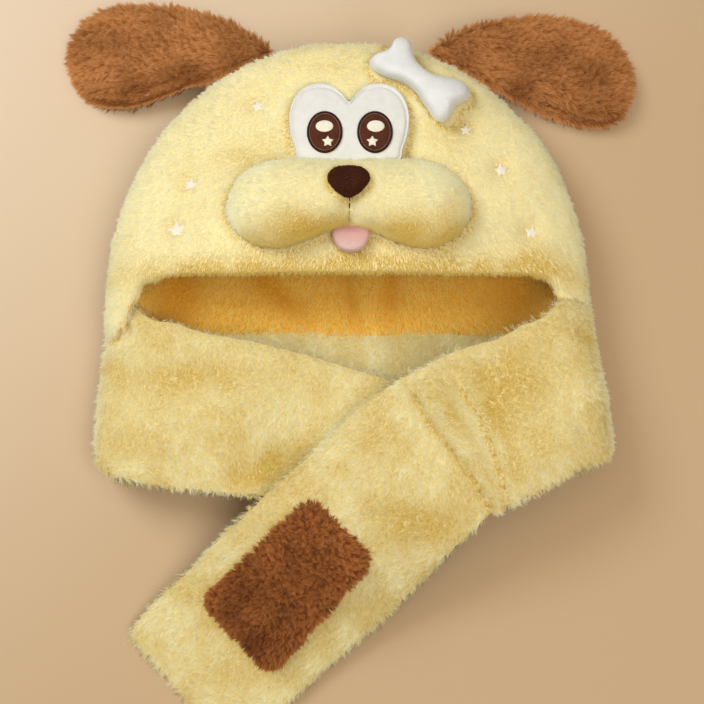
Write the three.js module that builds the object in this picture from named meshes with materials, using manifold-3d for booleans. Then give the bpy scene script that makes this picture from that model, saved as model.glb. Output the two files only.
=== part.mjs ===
// Plush puppy hood with an attached scarf, lying on its back.
// Millimetres, +Z up, +Y towards the crown. The origin is on the flat back of the hood, under the nose.
// Left and right are as seen from above, facing the puppy's face.
import * as THREE from 'three';
import { mergeVertices } from 'three/addons/utils/BufferGeometryUtils.js';
import Module from 'manifold-3d';

const wasm = await Module();
wasm.setup();

// Driving dimensions

const SEAT = 0.3; // clearance between two pieces that touch
const HOOD_WIDTH = 303; // across the hood, laid flat
const CROWN_Y = 104; // top of the crown
const WIDEST_Y = -52; // where the crown's curve starts
const SIDE_FLARE = 0.085; // how fast the sides widen below that
const WALL = 12; // padded double layer of deep plush
const SEAM_Z = 28; // height of the side seam between the front and back panels
const FRONT_RISE = 38; // front panel above the seam
const FRONT_ROUND = 2.4; // exponent of the front panel's cross section
const BACK_ROUND = 3; // exponent of the back panel's cross section, flatter
const BACK_PRESS = 1.12; // how far the back panel is pressed flat where it lies
const BRIM_Y = -54; // edge of the front panel, over the forehead
const SIDE_RIM_Y = -79.5; // seam where the scarf is sewn on
const CORNER_START = THREE.MathUtils.degToRad(27); // the brim leaves the seam, measured up from the side
const CORNER_END = THREE.MathUtils.degToRad(43);

const TRIM_DEPTH = 3; // how far a pad reaches into the hood before it is trimmed
const EYE_FELT = 5; // thickness of the joined eye patch
const MUZZLE_RISE = 25;
const NOSE_RISE = 8;
const EMBROIDERY = 1.2;

// Colours
const YELLOW = 0xe9d7a1;
const BROWN = 0xaf7547;
const DARK_BROWN = 0x4e2715;
const WHITE = 0xeae9de;
const PINK = 0xdaa79d;

const root = new THREE.Group();

function plush(color, roughness = 0.95) {
  return new THREE.MeshStandardMaterial({ color, roughness, metalness: 0 });
}

function place(name, geometry, material) {
  const mesh = new THREE.Mesh(geometry, material);
  mesh.name = name;
  root.add(mesh);
}

// Closed surfaces

function signedVolume(positions, triangles) {
  const a = new THREE.Vector3();
  const b = new THREE.Vector3();
  const c = new THREE.Vector3();
  let volume = 0;
  for (let i = 0; i < triangles.length; i += 3) {
    a.fromArray(positions, 3 * triangles[i]);
    b.fromArray(positions, 3 * triangles[i + 1]);
    c.fromArray(positions, 3 * triangles[i + 2]);
    volume += a.dot(b.cross(c)) / 6;
  }
  return volume;
}

function closedGeometry(positions, triangles) {
  if (signedVolume(positions, triangles) < 0) {
    triangles.reverse();
  }
  const geometry = new THREE.BufferGeometry();
  geometry.setAttribute('position', new THREE.Float32BufferAttribute(positions, 3));
  geometry.setIndex(triangles);
  return geometry;
}

// Joins rings of equally many points into one closed skin, with a pole point at each end.
function skin(rings, startPole, endPole) {
  const sides = rings[0].length;
  const points = [startPole, ...rings.flat(), endPole];
  const positions = points.flatMap((point) => [point.x, point.y, point.z]);
  const last = points.length - 1;
  const triangles = [];
  for (let side = 0; side < sides; side += 1) {
    const next = (side + 1) % sides;
    triangles.push(0, 1 + next, 1 + side);
    for (let ring = 0; ring < rings.length - 1; ring += 1) {
      const here = 1 + ring * sides;
      const above = here + sides;
      triangles.push(here + side, here + next, above + next);
      triangles.push(here + side, above + next, above + side);
    }
    const top = 1 + (rings.length - 1) * sides;
    triangles.push(top + side, top + next, last);
  }
  return closedGeometry(positions, triangles);
}

function signedPower(value, exponent) {
  return Math.sign(value) * Math.abs(value) ** exponent;
}

function middle(points) {
  const sum = new THREE.Vector3();
  points.forEach((point) => sum.add(point));
  return sum.divideScalar(points.length);
}

// Solid cuts

function toSolid(geometry) {
  const bare = new THREE.BufferGeometry();
  bare.setAttribute('position', geometry.getAttribute('position').clone());
  bare.setIndex(geometry.getIndex().clone());
  const merged = mergeVertices(bare, 1e-4);
  return new wasm.Manifold(new wasm.Mesh({
    numProp: 3,
    vertProperties: new Float32Array(merged.getAttribute('position').array),
    triVerts: new Uint32Array(merged.getIndex().array),
  }));
}

function fromSolid(solid) {
  const mesh = solid.getMesh();
  return closedGeometry(Array.from(mesh.vertProperties), Array.from(mesh.triVerts));
}

function cutAway(geometry, ...tools) {
  return fromSolid(tools.reduce((solid, tool) => solid.subtract(toSolid(tool)), toSolid(geometry)));
}

// Hood

const HOOD_SIDES = 60;
const HOOD_ROWS = 11;

// The hood's cross section at height y, moved in by inset (out when it is negative).
function hoodSection(y, inset) {
  const climb = THREE.MathUtils.clamp((y - WIDEST_Y) / (CROWN_Y - inset - WIDEST_Y), 0, 1);
  const close = Math.sqrt(1 - climb * climb);
  const flare = SIDE_FLARE * Math.max(0, WIDEST_Y - y);
  return {
    half: (HOOD_WIDTH / 2 + flare - inset) * close,
    rise: (FRONT_RISE - inset) * close ** 0.6,
    drop: SEAM_Z - inset,
    fullness: BACK_PRESS * close ** 0.35,
  };
}

function hoodPoint(angle, y, inset) {
  const { half, rise, drop, fullness } = hoodSection(y, inset);
  const front = Math.sin(angle) >= 0;
  const power = 2 / (front ? FRONT_ROUND : BACK_ROUND);
  const across = half * signedPower(Math.cos(angle), power);
  const up = signedPower(Math.sin(angle), power);
  const height = front ? rise * up : drop * Math.max(-1, fullness * up);
  return new THREE.Vector3(across, y, SEAM_Z + height);
}

// Height of the hood's front panel over a point.
function hoodTop(x, y) {
  const { half, rise } = hoodSection(y, 0);
  const reach = Math.min(1, Math.abs(x) / half);
  return SEAM_Z + rise * (1 - reach ** FRONT_ROUND) ** (1 / FRONT_ROUND);
}

// Where a pad that is trimmed by the hood starts, well inside the front panel.
function insideHood(x, y) {
  return hoodTop(x, y) - TRIM_DEPTH;
}

// The lower edge: the scarf seam round the back and sides, and the raised brim in front.
function rimY(angle) {
  const upFromSide = Math.min(angle, Math.PI - angle);
  const brim = THREE.MathUtils.smoothstep(upFromSide, CORNER_START, CORNER_END);
  return THREE.MathUtils.lerp(SIDE_RIM_Y, BRIM_Y, brim);
}

function hoodRing(climb, inset, lift, sides) {
  return Array.from({ length: sides }, (unused, side) => {
    const angle = (2 * Math.PI * side) / sides;
    const start = rimY(angle) + lift;
    const y = start + (CROWN_Y - inset - start) * Math.sin((climb * Math.PI) / 2);
    return hoodPoint(angle, y, inset);
  });
}

function hoodShell() {
  const innerRows = 9;
  const rimRadius = WALL / 2;
  const rings = [];
  for (let row = HOOD_ROWS - 1; row >= 0; row -= 1) {
    rings.push(hoodRing(row / HOOD_ROWS, 0, rimRadius, HOOD_SIDES));
  }
  for (const turn of [45, 90, 135]) {
    const inward = (WALL * (1 - Math.cos(THREE.MathUtils.degToRad(turn)))) / 2;
    const lift = rimRadius * (1 - Math.sin(THREE.MathUtils.degToRad(turn)));
    rings.push(hoodRing(0, inward, lift, HOOD_SIDES));
  }
  for (let row = 0; row < innerRows; row += 1) {
    rings.push(hoodRing(row / innerRows, WALL, rimRadius, HOOD_SIDES));
  }
  const crown = new THREE.Vector3(0, CROWN_Y, SEAM_Z);
  const innerCrown = new THREE.Vector3(0, CROWN_Y - WALL, SEAM_Z);
  return skin(rings, crown, innerCrown);
}

// The hood's filled outer shape, grown by the seating clearance, which trims what is sewn to it.
function hoodHull() {
  const rings = [];
  for (let row = 0; row < HOOD_ROWS; row += 1) {
    rings.push(hoodRing(row / HOOD_ROWS, -SEAT, WALL / 2, HOOD_SIDES));
  }
  return skin(rings, middle(rings[0]), new THREE.Vector3(0, CROWN_Y + SEAT, SEAM_Z));
}

// Flat padded bands

// Each row gives the two edges of a cross section, its thickness, and how far its middle bows up.
function bandSections(rows, steps) {
  const first = new THREE.CatmullRomCurve3(rows.map((row) => new THREE.Vector3(...row.edge)));
  const second = new THREE.CatmullRomCurve3(rows.map((row) => new THREE.Vector3(...row.free)));
  const count = (rows.length - 1) * steps;
  return Array.from({ length: count + 1 }, (unused, step) => {
    const row = Math.min(Math.floor(step / steps), rows.length - 2);
    const blend = step / steps - row;
    return {
      a: first.getPoint(step / count),
      b: second.getPoint(step / count),
      thickness: THREE.MathUtils.lerp(rows[row].thickness, rows[row + 1].thickness, blend),
      bow: THREE.MathUtils.lerp(rows[row].bow ?? 0, rows[row + 1].bow ?? 0, blend),
    };
  });
}

function band(rows, { sides, steps, squareness, grow = 0 }) {
  const sections = bandSections(rows, steps);
  const centres = sections.map(({ a, b }) => a.clone().add(b).multiplyScalar(0.5));
  const rings = sections.map(({ a, b, thickness, bow }, index) => {
    const before = centres[Math.max(0, index - 1)];
    const after = centres[Math.min(sections.length - 1, index + 1)];
    const across = b.clone().sub(a);
    const normal = after.clone().sub(before).cross(across).normalize();
    across.setLength(across.length() + 2 * grow);
    return Array.from({ length: sides }, (unused, side) => {
      const angle = (2 * Math.PI * (side + 0.5)) / sides;
      const along = signedPower(Math.cos(angle), 2 / squareness);
      const out = signedPower(Math.sin(angle), 2 / squareness);
      const point = centres[index].clone().addScaledVector(across, along / 2);
      point.addScaledVector(normal, out * (thickness / 2 + grow));
      point.z = Math.max(0, point.z + bow * (1 - along * along)); // pressed flat where it lies
      return point;
    });
  });
  return skin(rings, middle(rings[0]), middle(rings[rings.length - 1]));
}

// Height of a band's middle layer over a point, searched from its last section backwards.
function bandMiddle(sections, x, y) {
  const point = new THREE.Vector2(x, y);
  const ahead = ({ a, b }) => (b.x - a.x) * (y - a.y) - (b.y - a.y) * (x - a.x);
  for (let index = sections.length - 1; index > 0; index -= 1) {
    const near = sections[index - 1];
    const far = sections[index];
    const from = ahead(near);
    const to = ahead(far);
    if (from * to <= 0) {
      const t = from / (from - to);
      const a = near.a.clone().lerp(far.a, t);
      const b = near.b.clone().lerp(far.b, t);
      const line = new THREE.Vector2(b.x - a.x, b.y - a.y);
      const share = point.clone().sub(a).dot(line) / line.lengthSq();
      const bow = THREE.MathUtils.lerp(near.bow, far.bow, t);
      return THREE.MathUtils.lerp(a.z, b.z, share) + bow * (1 - (2 * share - 1) ** 2);
    }
  }
  return sections[sections.length - 1].a.z;
}

// Rows that carry the band round a fold, from the front layer down to the back layer or up again.
function foldRows({ edgeX, freeX, edgeY, freeY, low, high, direction, thickness, turns }) {
  const centreZ = (low + high) / 2;
  const radius = (high - low) / 2;
  return turns.map((turn) => {
    const angle = THREE.MathUtils.degToRad(turn);
    const out = direction * radius * Math.sin(angle);
    const z = centreZ + radius * Math.cos(angle);
    const corner = 9 * Math.sin(angle) ** 2; // the fold's lower corner is rounded off
    return {
      edge: [edgeX + out, edgeY, z],
      free: [freeX + out, freeY + corner, z],
      thickness,
    };
  });
}

const SCARF_THICKNESS = 14;
const BACK_Z = SCARF_THICKNESS / 2; // middle of the layer that lies on the table
const LEFT_Z = 37; // middle of the left front layer
const RIGHT_Z = 51.6; // middle of the right front layer, which lies over it

const scarfRows = [
  { edge: [61, -123, LEFT_Z], free: [50, -190, LEFT_Z], thickness: 8 },
  { edge: [57, -121, LEFT_Z], free: [46, -193, LEFT_Z], thickness: 13.6 },
  { edge: [20, -108, LEFT_Z], free: [8, -192, LEFT_Z], thickness: 14 },
  { edge: [-30, -93, LEFT_Z], free: [-44, -188.5, LEFT_Z], thickness: 14 },
  { edge: [-91, -80, LEFT_Z], free: [-104, -183, LEFT_Z], thickness: 14 },
  ...foldRows({
    edgeX: -131, freeX: -139, edgeY: -80.2, freeY: -177, low: BACK_Z, high: LEFT_Z,
    direction: -1, thickness: SCARF_THICKNESS, turns: [0, 45, 90, 135, 180],
  }),
  { edge: [0, -80.2, BACK_Z], free: [0, -172, BACK_Z], thickness: 14 },
  ...foldRows({
    edgeX: 125, freeX: 139, edgeY: -80.2, freeY: -171, low: BACK_Z, high: RIGHT_Z,
    direction: 1, thickness: SCARF_THICKNESS, turns: [180, 135, 90, 45, 0],
  }),
  { edge: [80, -89, RIGHT_Z], free: [118, -184, RIGHT_Z], thickness: 14 },
  { edge: [56, -98.5, RIGHT_Z], free: [98, -192, RIGHT_Z], thickness: 14 },
  { edge: [51, -101, RIGHT_Z + 0.5], free: [95, -194, RIGHT_Z], thickness: 13 },
  { edge: [45, -104, RIGHT_Z + 2.5], free: [92, -195.5, RIGHT_Z], thickness: 13, bow: 3 },
  { edge: [38.5, -107, RIGHT_Z + 0.5], free: [89.5, -197, RIGHT_Z], thickness: 13, bow: 1 },
  { edge: [32, -110.5, RIGHT_Z + 3], free: [87, -198.5, RIGHT_Z], thickness: 13, bow: 4 },
  { edge: [22, -116.5, RIGHT_Z + 1.5], free: [84.5, -200.5, RIGHT_Z - 1], thickness: 13.5, bow: 2 },
  { edge: [10, -124, RIGHT_Z + 1], free: [82, -203.5, RIGHT_Z - 2], thickness: 14, bow: 3 },
  { edge: [-17, -151, RIGHT_Z + 0.5], free: [56, -228, 35], thickness: 14, bow: 9 },
  { edge: [-46, -178, 54], free: [27, -256, 17], thickness: 14, bow: 9 },
  { edge: [-75, -203, 37], free: [-2, -282, 9], thickness: 14, bow: 3 },
  { edge: [-103, -229, 18], free: [-30, -308, 7.2], thickness: 14, bow: 1 },
  { edge: [-128, -253, 9], free: [-56, -331, 7], thickness: 14 },
  { edge: [-137, -264, 7.2], free: [-66, -339, 7], thickness: 13 },
  { edge: [-137, -271, 7], free: [-72, -339.5, 7], thickness: 8 },
];

const TAIL_ROWS = 8; // of the rows above, those that make the tail

// Ears

const leftEarRows = [
  { edge: [-38, 88, 30], free: [-78, 62, 30], thickness: 20 },
  { edge: [-47, 101, 28], free: [-89, 76, 27], thickness: 20 },
  { edge: [-62, 113, 26], free: [-98, 74.5, 23], thickness: 22 },
  { edge: [-80, 121, 22], free: [-110, 70, 18], thickness: 24, bow: 1 },
  { edge: [-103, 127.5, 17], free: [-124, 65.5, 14], thickness: 25, bow: 1 },
  { edge: [-126, 132, 13], free: [-140, 61, 12], thickness: 26 },
  { edge: [-148, 131.5, 12], free: [-156, 61.5, 12], thickness: 26 },
  { edge: [-166, 125, 11], free: [-168, 66, 11], thickness: 24 },
  { edge: [-176, 114, 11], free: [-176, 77, 11], thickness: 17 },
  { edge: [-180, 103, 10], free: [-180.5, 91, 10], thickness: 8 },
];

const rightEarRows = [
  { edge: [40, 88, 30], free: [82, 60, 30], thickness: 20 },
  { edge: [50, 100.5, 28], free: [94, 74, 27], thickness: 20 },
  { edge: [66, 112.5, 26], free: [104, 70, 23], thickness: 22 },
  { edge: [84, 120, 22], free: [114, 65, 18], thickness: 23, bow: -1 },
  { edge: [104, 125.5, 17], free: [127, 59, 14], thickness: 24, bow: -1 },
  { edge: [127, 127, 13], free: [144, 54, 12], thickness: 26 },
  { edge: [149, 123.5, 12], free: [160, 52, 12], thickness: 26 },
  { edge: [167, 116.5, 11], free: [171, 54.5, 11], thickness: 24 },
  { edge: [177, 104, 11], free: [179, 64, 11], thickness: 17 },
  { edge: [183, 90, 10], free: [183.5, 78, 10], thickness: 8 },
];

// Pieces that lie on a curved surface

// A closed smooth outline through a few points.
function smoothOutline(points, samples) {
  const curve = new THREE.CatmullRomCurve3(
    points.map(([x, y]) => new THREE.Vector3(x, y, 0)), true, 'centripetal',
  );
  return curve.getPoints(samples).slice(0, samples).map((point) => [point.x, point.y]);
}

// The right half of an outline, from its top to its bottom, and its mirror image.
function mirrored(half, centreX) {
  const inner = half.filter(([x]) => x !== 0);
  const right = half.map(([x, y]) => [centreX + x, y]);
  const left = inner.map(([x, y]) => [centreX - x, y]).reverse();
  return [...right, ...left];
}

function oval(centre, radiusX, radiusY, samples) {
  return Array.from({ length: samples }, (unused, index) => {
    const angle = (2 * Math.PI * index) / samples;
    return [centre[0] + radiusX * Math.cos(angle), centre[1] + radiusY * Math.sin(angle)];
  });
}

function star(centre, radius, turn) {
  const inner = 0.52 * radius;
  return Array.from({ length: 10 }, (unused, index) => {
    const angle = THREE.MathUtils.degToRad(90 + turn + 36 * index);
    const reach = index % 2 === 0 ? radius : inner;
    return [centre[0] + reach * Math.cos(angle), centre[1] + reach * Math.sin(angle)];
  });
}

// A puffed pad: its outline shrinks towards a spine, its underside follows the surface below, and
// its upper side rises by edge at once and by puff towards the spine.
function pad({ outline, spine, under, edge, puff, levels, groove, grow = 0 }) {
  const start = new THREE.Vector2(...spine[0]);
  const end = new THREE.Vector2(...spine[1]);
  const line = end.clone().sub(start);
  const feet = outline.map(([x, y]) => {
    const t = new THREE.Vector2(x, y).sub(start).dot(line) / Math.max(line.lengthSq(), 1e-9);
    return start.clone().addScaledVector(line, THREE.MathUtils.clamp(t, 0, 1));
  });
  const ringAt = (share, upper) => outline.map(([x, y], index) => {
    const spoke = new THREE.Vector2(x, y).sub(feet[index]);
    const stretch = share + grow / Math.max(spoke.length(), 1e-9);
    const point = feet[index].clone().addScaledVector(spoke, stretch);
    const base = under(point.x, point.y) + SEAT - grow;
    const dome = Math.sqrt(Math.max(0, 1 - share ** 2.4));
    const valley = groove ? groove(point.x, point.y) * dome : 0;
    const height = upper ? edge + puff * dome - valley + 2 * grow : 0;
    return new THREE.Vector3(point.x, point.y, base + height);
  });
  const lower = [...levels].reverse().map((share) => ringAt(share, false));
  const upper = levels.map((share) => ringAt(share, true));
  const rings = [...lower, ringAt(1, false), ringAt(1, true), ...upper];
  const sides = outline.length;
  const points = rings.flat();
  const positions = points.flatMap((point) => [point.x, point.y, point.z]);
  const triangles = [];
  for (let ring = 0; ring < rings.length - 1; ring += 1) {
    for (let side = 0; side < sides; side += 1) {
      const next = (side + 1) % sides;
      const here = ring * sides;
      triangles.push(here + side, here + next, here + sides + next);
      triangles.push(here + side, here + sides + next, here + sides + side);
    }
  }
  // The flat middle of each side is filled in from its last ring.
  const lid = rings[0].map((point) => new THREE.Vector2(point.x, point.y));
  const faces = THREE.ShapeUtils.triangulateShape(lid, []);
  const turned = THREE.ShapeUtils.isClockWise(lid);
  const top = (rings.length - 1) * sides;
  for (const [a, b, c] of faces) {
    const corners = turned ? [a, c, b] : [a, b, c];
    triangles.push(corners[0], corners[2], corners[1]);
    triangles.push(top + corners[0], top + corners[1], top + corners[2]);
  }
  return closedGeometry(positions, triangles);
}

const eyeHalf = [[0, 53], [7, 59], [17.5, 66], [28, 63.5], [35, 54.5], [37.5, 42], [34, 24], [29, 14.5], [0, 12.5]];
const eyePatch = {
  outline: smoothOutline(mirrored(eyeHalf, 0.6), 48),
  spine: [[-14, 34], [16, 34]],
  under: insideHood,
  edge: TRIM_DEPTH + EYE_FELT - 1.5,
  puff: 1.5,
  levels: [0.93, 0.8, 0.4],
};

const muzzleHalf = [
  [0, 18.5], [28, 19], [50, 17.5], [66, 9.5], [74.5, -5], [74, -19], [64, -31.5], [46, -38], [28, -34],
  [14, -28], [0, -24.5],
];
const muzzle = {
  outline: smoothOutline(mirrored(muzzleHalf, 0.6), 56),
  spine: [[-42, -8], [43, -9]],
  under: insideHood,
  edge: TRIM_DEPTH + 2,
  puff: MUZZLE_RISE - 2,
  levels: [0.97, 0.9, 0.78, 0.6, 0.38, 0.12],
  groove: (x, y) => 7 * Math.exp(-((x / 7) ** 2)) * THREE.MathUtils.smoothstep(-y, 4, 16),
};

function muzzleTop() {
  return hoodTop(0, -2) + MUZZLE_RISE;
}

const noseHalf = [[0, 9], [8, 7.2], [12.8, 0], [9, -6.5], [3.5, -9.6], [0, -10.2]];
const nose = {
  outline: smoothOutline(mirrored(noseHalf, 0.3), 24),
  spine: [[-4, 0.5], [4.6, 0.5]],
  under: () => muzzleTop() - 6,
  edge: 5,
  puff: NOSE_RISE,
  levels: [0.9, 0.7, 0.4],
};

const tongueHalf = [[0, -21.5], [9.5, -22.5], [11.4, -29], [7.5, -36.5], [0, -39.5]];
const tongue = {
  outline: smoothOutline(mirrored(tongueHalf, 1.8), 24),
  spine: [[1.8, -28], [1.8, -32]],
  under: insideHood,
  edge: TRIM_DEPTH + 3.5,
  puff: 2.5,
  levels: [0.85, 0.5],
};

const PUPIL_RADII = [10.8, 12.7];
const PUPIL_Y = 33.6;
const PUPIL_X = { left: -14.3, right: 16.2 };
const onFelt = (x, y) => hoodTop(x, y) + SEAT + EYE_FELT;
const onPupil = (x, y) => onFelt(x, y) + SEAT + EMBROIDERY;
const disc = { under: onFelt, edge: EMBROIDERY, puff: 0, levels: [0.6] };

const BONE_OVERHANG_Y = 84; // past this the bone stands clear of the crown's curve

// The white bone clip: two round knobs at each end of a short shank, on a line that slopes down.
function boneOutline() {
  const centre = [45, 71.5];
  const slope = THREE.MathUtils.degToRad(-37);
  const half = [
    [0, 8.2], [12, 9], [19, 14], [25, 15.6], [31, 13.5], [33.5, 8], [31, 3], [28.5, 0],
  ];
  const upperRight = half;
  const lowerRight = half.slice(0, -1).map(([x, y]) => [x, -y]).reverse();
  const leftSide = [...half.slice(1, -1).map(([x, y]) => [-x, -y]), [-28.5, 0]];
  const upperLeft = half.slice(1, -1).map(([x, y]) => [-x, y]).reverse();
  const loop = smoothOutline([...upperRight, ...lowerRight, ...leftSide, ...upperLeft], 64);
  return loop.map(([x, y]) => [
    centre[0] + x * Math.cos(slope) - y * Math.sin(slope),
    centre[1] + x * Math.sin(slope) + y * Math.cos(slope),
  ]);
}

const bone = {
  outline: boneOutline(),
  spine: [[45 - 19, 71.5 + 14.5], [45 + 19, 71.5 - 14.5]],
  under: (x, y) => insideHood(x, Math.min(y, BONE_OVERHANG_Y)),
  edge: TRIM_DEPTH + 4,
  puff: 9,
  levels: [0.9, 0.72, 0.4],
};

const HOOD_STARS = {
  star_crown: { at: [-55.5, 56], radius: 6, turn: 10 },
  star_left_upper: { at: [-97.5, 6], radius: 6, turn: -12 },
  star_left_lower: { at: [-104.5, -23], radius: 8, turn: 8 },
  star_right_crown: { at: [73, 40.5], radius: 5.5, turn: 0 },
  star_right_upper: { at: [95.3, 15.5], radius: 6.5, turn: 14 },
  star_right_lower: { at: [113, -24], radius: 6.5, turn: -8 },
};

// A four-sided outline with rounded corners and evenly spaced points along its sides.
function roundedOutline(corners, radius, sidePoints) {
  const outline = [];
  corners.forEach((corner, index) => {
    const here = new THREE.Vector2(...corner);
    const before = new THREE.Vector2(...corners.at(index - 1));
    const after = new THREE.Vector2(...corners[(index + 1) % corners.length]);
    const start = here.clone().add(before.sub(here).setLength(radius));
    const turnEnd = here.clone().add(after.clone().sub(here).setLength(radius));
    const sideEnd = after.clone().add(here.clone().sub(after).setLength(radius));
    outline.push(...new THREE.QuadraticBezierCurve(start, here, turnEnd).getPoints(4));
    for (let step = 1; step <= sidePoints; step += 1) {
      outline.push(turnEnd.clone().lerp(sideEnd, step / (sidePoints + 1)));
    }
  });
  return outline.map((point) => [point.x, point.y]);
}

// The brown patch on the scarf's tail. It starts from the tail's middle layer and is trimmed by it.
const tailSections = bandSections(scarfRows.slice(-TAIL_ROWS), 2);
const tailPatch = {
  outline: roundedOutline([[-21.5, -186], [14.5, -221], [-49, -291.5], [-91, -247]], 10, 4),
  spine: [[-22, -221], [-52, -253]],
  under: (x, y) => bandMiddle(tailSections, x, y),
  edge: SCARF_THICKNESS * 0.56 + 2.5,
  puff: 2,
  levels: [0.93, 0.75, 0.5, 0.2],
};

// Assembly

const hull = hoodHull();
const grownMuzzle = pad({ ...muzzle, grow: 2 * SEAT });
const grownEyePatch = pad({ ...eyePatch, grow: 2 * SEAT });
const scarfStyle = { sides: 22, steps: 2, squareness: 3 };
const grownScarf = band(scarfRows, { ...scarfStyle, grow: SEAT });

place('hood', hoodShell(), plush(YELLOW));
place('scarf', band(scarfRows, scarfStyle), plush(YELLOW));
const earStyle = { sides: 16, steps: 2, squareness: 2.3 };
place('left_ear', cutAway(band(leftEarRows, earStyle), hull), plush(BROWN));
place('right_ear', cutAway(band(rightEarRows, earStyle), hull), plush(BROWN));
place('tail_patch', cutAway(pad(tailPatch), grownScarf), plush(BROWN));
place('muzzle', cutAway(pad(muzzle), hull), plush(YELLOW));
place('eye_patch', cutAway(pad(eyePatch), hull, grownMuzzle), plush(WHITE));
place('nose', cutAway(pad(nose), grownMuzzle), plush(DARK_BROWN, 0.8));
place('tongue', cutAway(pad(tongue), hull, grownMuzzle), plush(PINK, 0.8));
place('bone_clip', cutAway(pad(bone), hull, grownEyePatch), plush(WHITE));

for (const [side, x] of Object.entries(PUPIL_X)) {
  const spine = [[x, PUPIL_Y - 2], [x, PUPIL_Y + 2]];
  const outline = oval([x, PUPIL_Y], ...PUPIL_RADII, 24);
  place(`${side}_pupil`, pad({ ...disc, outline, spine }), plush(DARK_BROWN, 0.8));
  const glintX = x + (side === 'left' ? -0.2 : 0.5);
  const glint = oval([glintX, PUPIL_Y + 3.6], 5.4, 3.8, 16);
  const glintSpine = [[glintX - 1, PUPIL_Y + 3.6], [glintX + 1, PUPIL_Y + 3.6]];
  place(`${side}_glint`, pad({ ...disc, under: onPupil, outline: glint, spine: glintSpine }), plush(WHITE));
  const starX = x + (side === 'left' ? 1.9 : -1.6);
  const spark = star([starX, PUPIL_Y - 6.2], 3.6, 0);
  const sparkSpine = [[starX - 0.2, PUPIL_Y - 6.2], [starX + 0.2, PUPIL_Y - 6.2]];
  place(`${side}_pupil_star`, pad({ ...disc, under: onPupil, outline: spark, spine: sparkSpine }), plush(WHITE));
}

for (const [name, { at, radius, turn }] of Object.entries(HOOD_STARS)) {
  const spine = [[at[0] - 0.2, at[1]], [at[0] + 0.2, at[1]]];
  const outline = star(at, radius, turn);
  const plate = pad({ ...disc, under: insideHood, outline, spine, edge: TRIM_DEPTH + 1.6 });
  place(name, cutAway(plate, hull), plush(WHITE));
}

export default root;
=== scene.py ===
"""A plush puppy hood with an attached scarf, lying on its back.

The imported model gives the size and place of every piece. Each soft piece gets a sculpted skin here,
and the plush pieces get strands of fur that grow out of that skin. Metres, +Z up, +Y to the crown.
"""
import math

import bmesh
import bpy
import numpy as np
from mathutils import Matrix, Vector
from mathutils.bvhtree import BVHTree


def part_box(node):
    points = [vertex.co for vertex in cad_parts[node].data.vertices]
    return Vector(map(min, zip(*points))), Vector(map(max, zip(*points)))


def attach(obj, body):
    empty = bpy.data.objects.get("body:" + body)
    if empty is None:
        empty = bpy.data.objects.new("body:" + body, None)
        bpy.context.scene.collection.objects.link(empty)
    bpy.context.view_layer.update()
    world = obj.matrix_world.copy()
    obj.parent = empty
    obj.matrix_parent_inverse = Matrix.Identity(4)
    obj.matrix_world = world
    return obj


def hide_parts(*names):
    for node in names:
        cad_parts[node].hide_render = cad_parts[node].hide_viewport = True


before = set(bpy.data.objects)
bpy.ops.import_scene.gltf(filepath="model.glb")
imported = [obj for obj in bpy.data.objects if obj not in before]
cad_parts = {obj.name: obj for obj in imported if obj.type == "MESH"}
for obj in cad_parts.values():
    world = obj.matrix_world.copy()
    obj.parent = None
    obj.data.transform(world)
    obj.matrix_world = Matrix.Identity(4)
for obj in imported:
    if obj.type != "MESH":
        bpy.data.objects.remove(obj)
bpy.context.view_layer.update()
MM = 0.001

# Camera and light

TABLE_POINT = Vector((2.4, -90.5, 0)) * MM  # the middle of the photograph, on the table
CAMERA_DISTANCE = 1150 * MM
CAMERA_ELEVATION = math.radians(82)
FRAME_WIDTH = 448.4 * MM  # what the photograph takes in across the table
SENSOR = 36.0

# Each round light's place and size in metres, its power in watts, and its colour
LIGHTS = {
    "key": ((-0.75, 0.5, 1.05), 0.7, 9.6, (0.98, 1.02, 1.05)),
    "fill": ((0.4, -0.6, 1.3), 0.9, 7.5, (1.02, 0.98, 0.92)),
    "sky": ((0, -0.1, 1.7), 1.5, 8.5, (1.0, 0.86, 0.68)),
}
LIGHT_TARGET = Vector((0, -0.1, 0))
WORLD_COLOUR = (1.0, 0.86, 0.67, 1)
WORLD_STRENGTH = 0.26


def add_camera():
    data = bpy.data.cameras.new("camera")
    data.sensor_width = SENSOR
    data.lens = SENSOR * CAMERA_DISTANCE / FRAME_WIDTH
    camera = bpy.data.objects.new("camera", data)
    back = Vector((0, -math.cos(CAMERA_ELEVATION), math.sin(CAMERA_ELEVATION)))
    camera.location = TABLE_POINT + back * CAMERA_DISTANCE
    camera.rotation_euler = (math.pi / 2 - CAMERA_ELEVATION, 0, 0)
    bpy.context.scene.collection.objects.link(camera)
    bpy.context.scene.camera = camera


def add_light(name, place, size, power, tint):
    data = bpy.data.lights.new(name, "AREA")
    data.shape = "DISK"
    data.size = size
    data.energy = power
    data.color = tint
    light = bpy.data.objects.new(name, data)
    light.location = place
    light.rotation_euler = (LIGHT_TARGET - light.location).to_track_quat("-Z", "Y").to_euler()
    bpy.context.scene.collection.objects.link(light)


def add_lights():
    for name, values in LIGHTS.items():
        add_light(name, *values)
    world = bpy.data.worlds.new("studio")
    world.use_nodes = True
    background = world.node_tree.nodes["Background"]
    background.inputs["Color"].default_value = WORLD_COLOUR
    background.inputs["Strength"].default_value = WORLD_STRENGTH
    bpy.context.scene.world = world
    bpy.context.scene.view_settings.view_transform = "Standard"


# Arrays of points

def unit(vectors):
    """Each vector at a length of 1."""
    return vectors / np.maximum(np.linalg.norm(vectors, axis=-1, keepdims=True), 1e-9)


def dots(a, b):
    return np.sum(a * b, axis=-1, keepdims=True)


def smoothstep(low, high, value):
    """0 at low, 1 at high and soft between them; low may be the greater of the two."""
    t = np.clip((value - low) / (high - low), 0, 1)
    return t * t * (3 - 2 * t)


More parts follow.
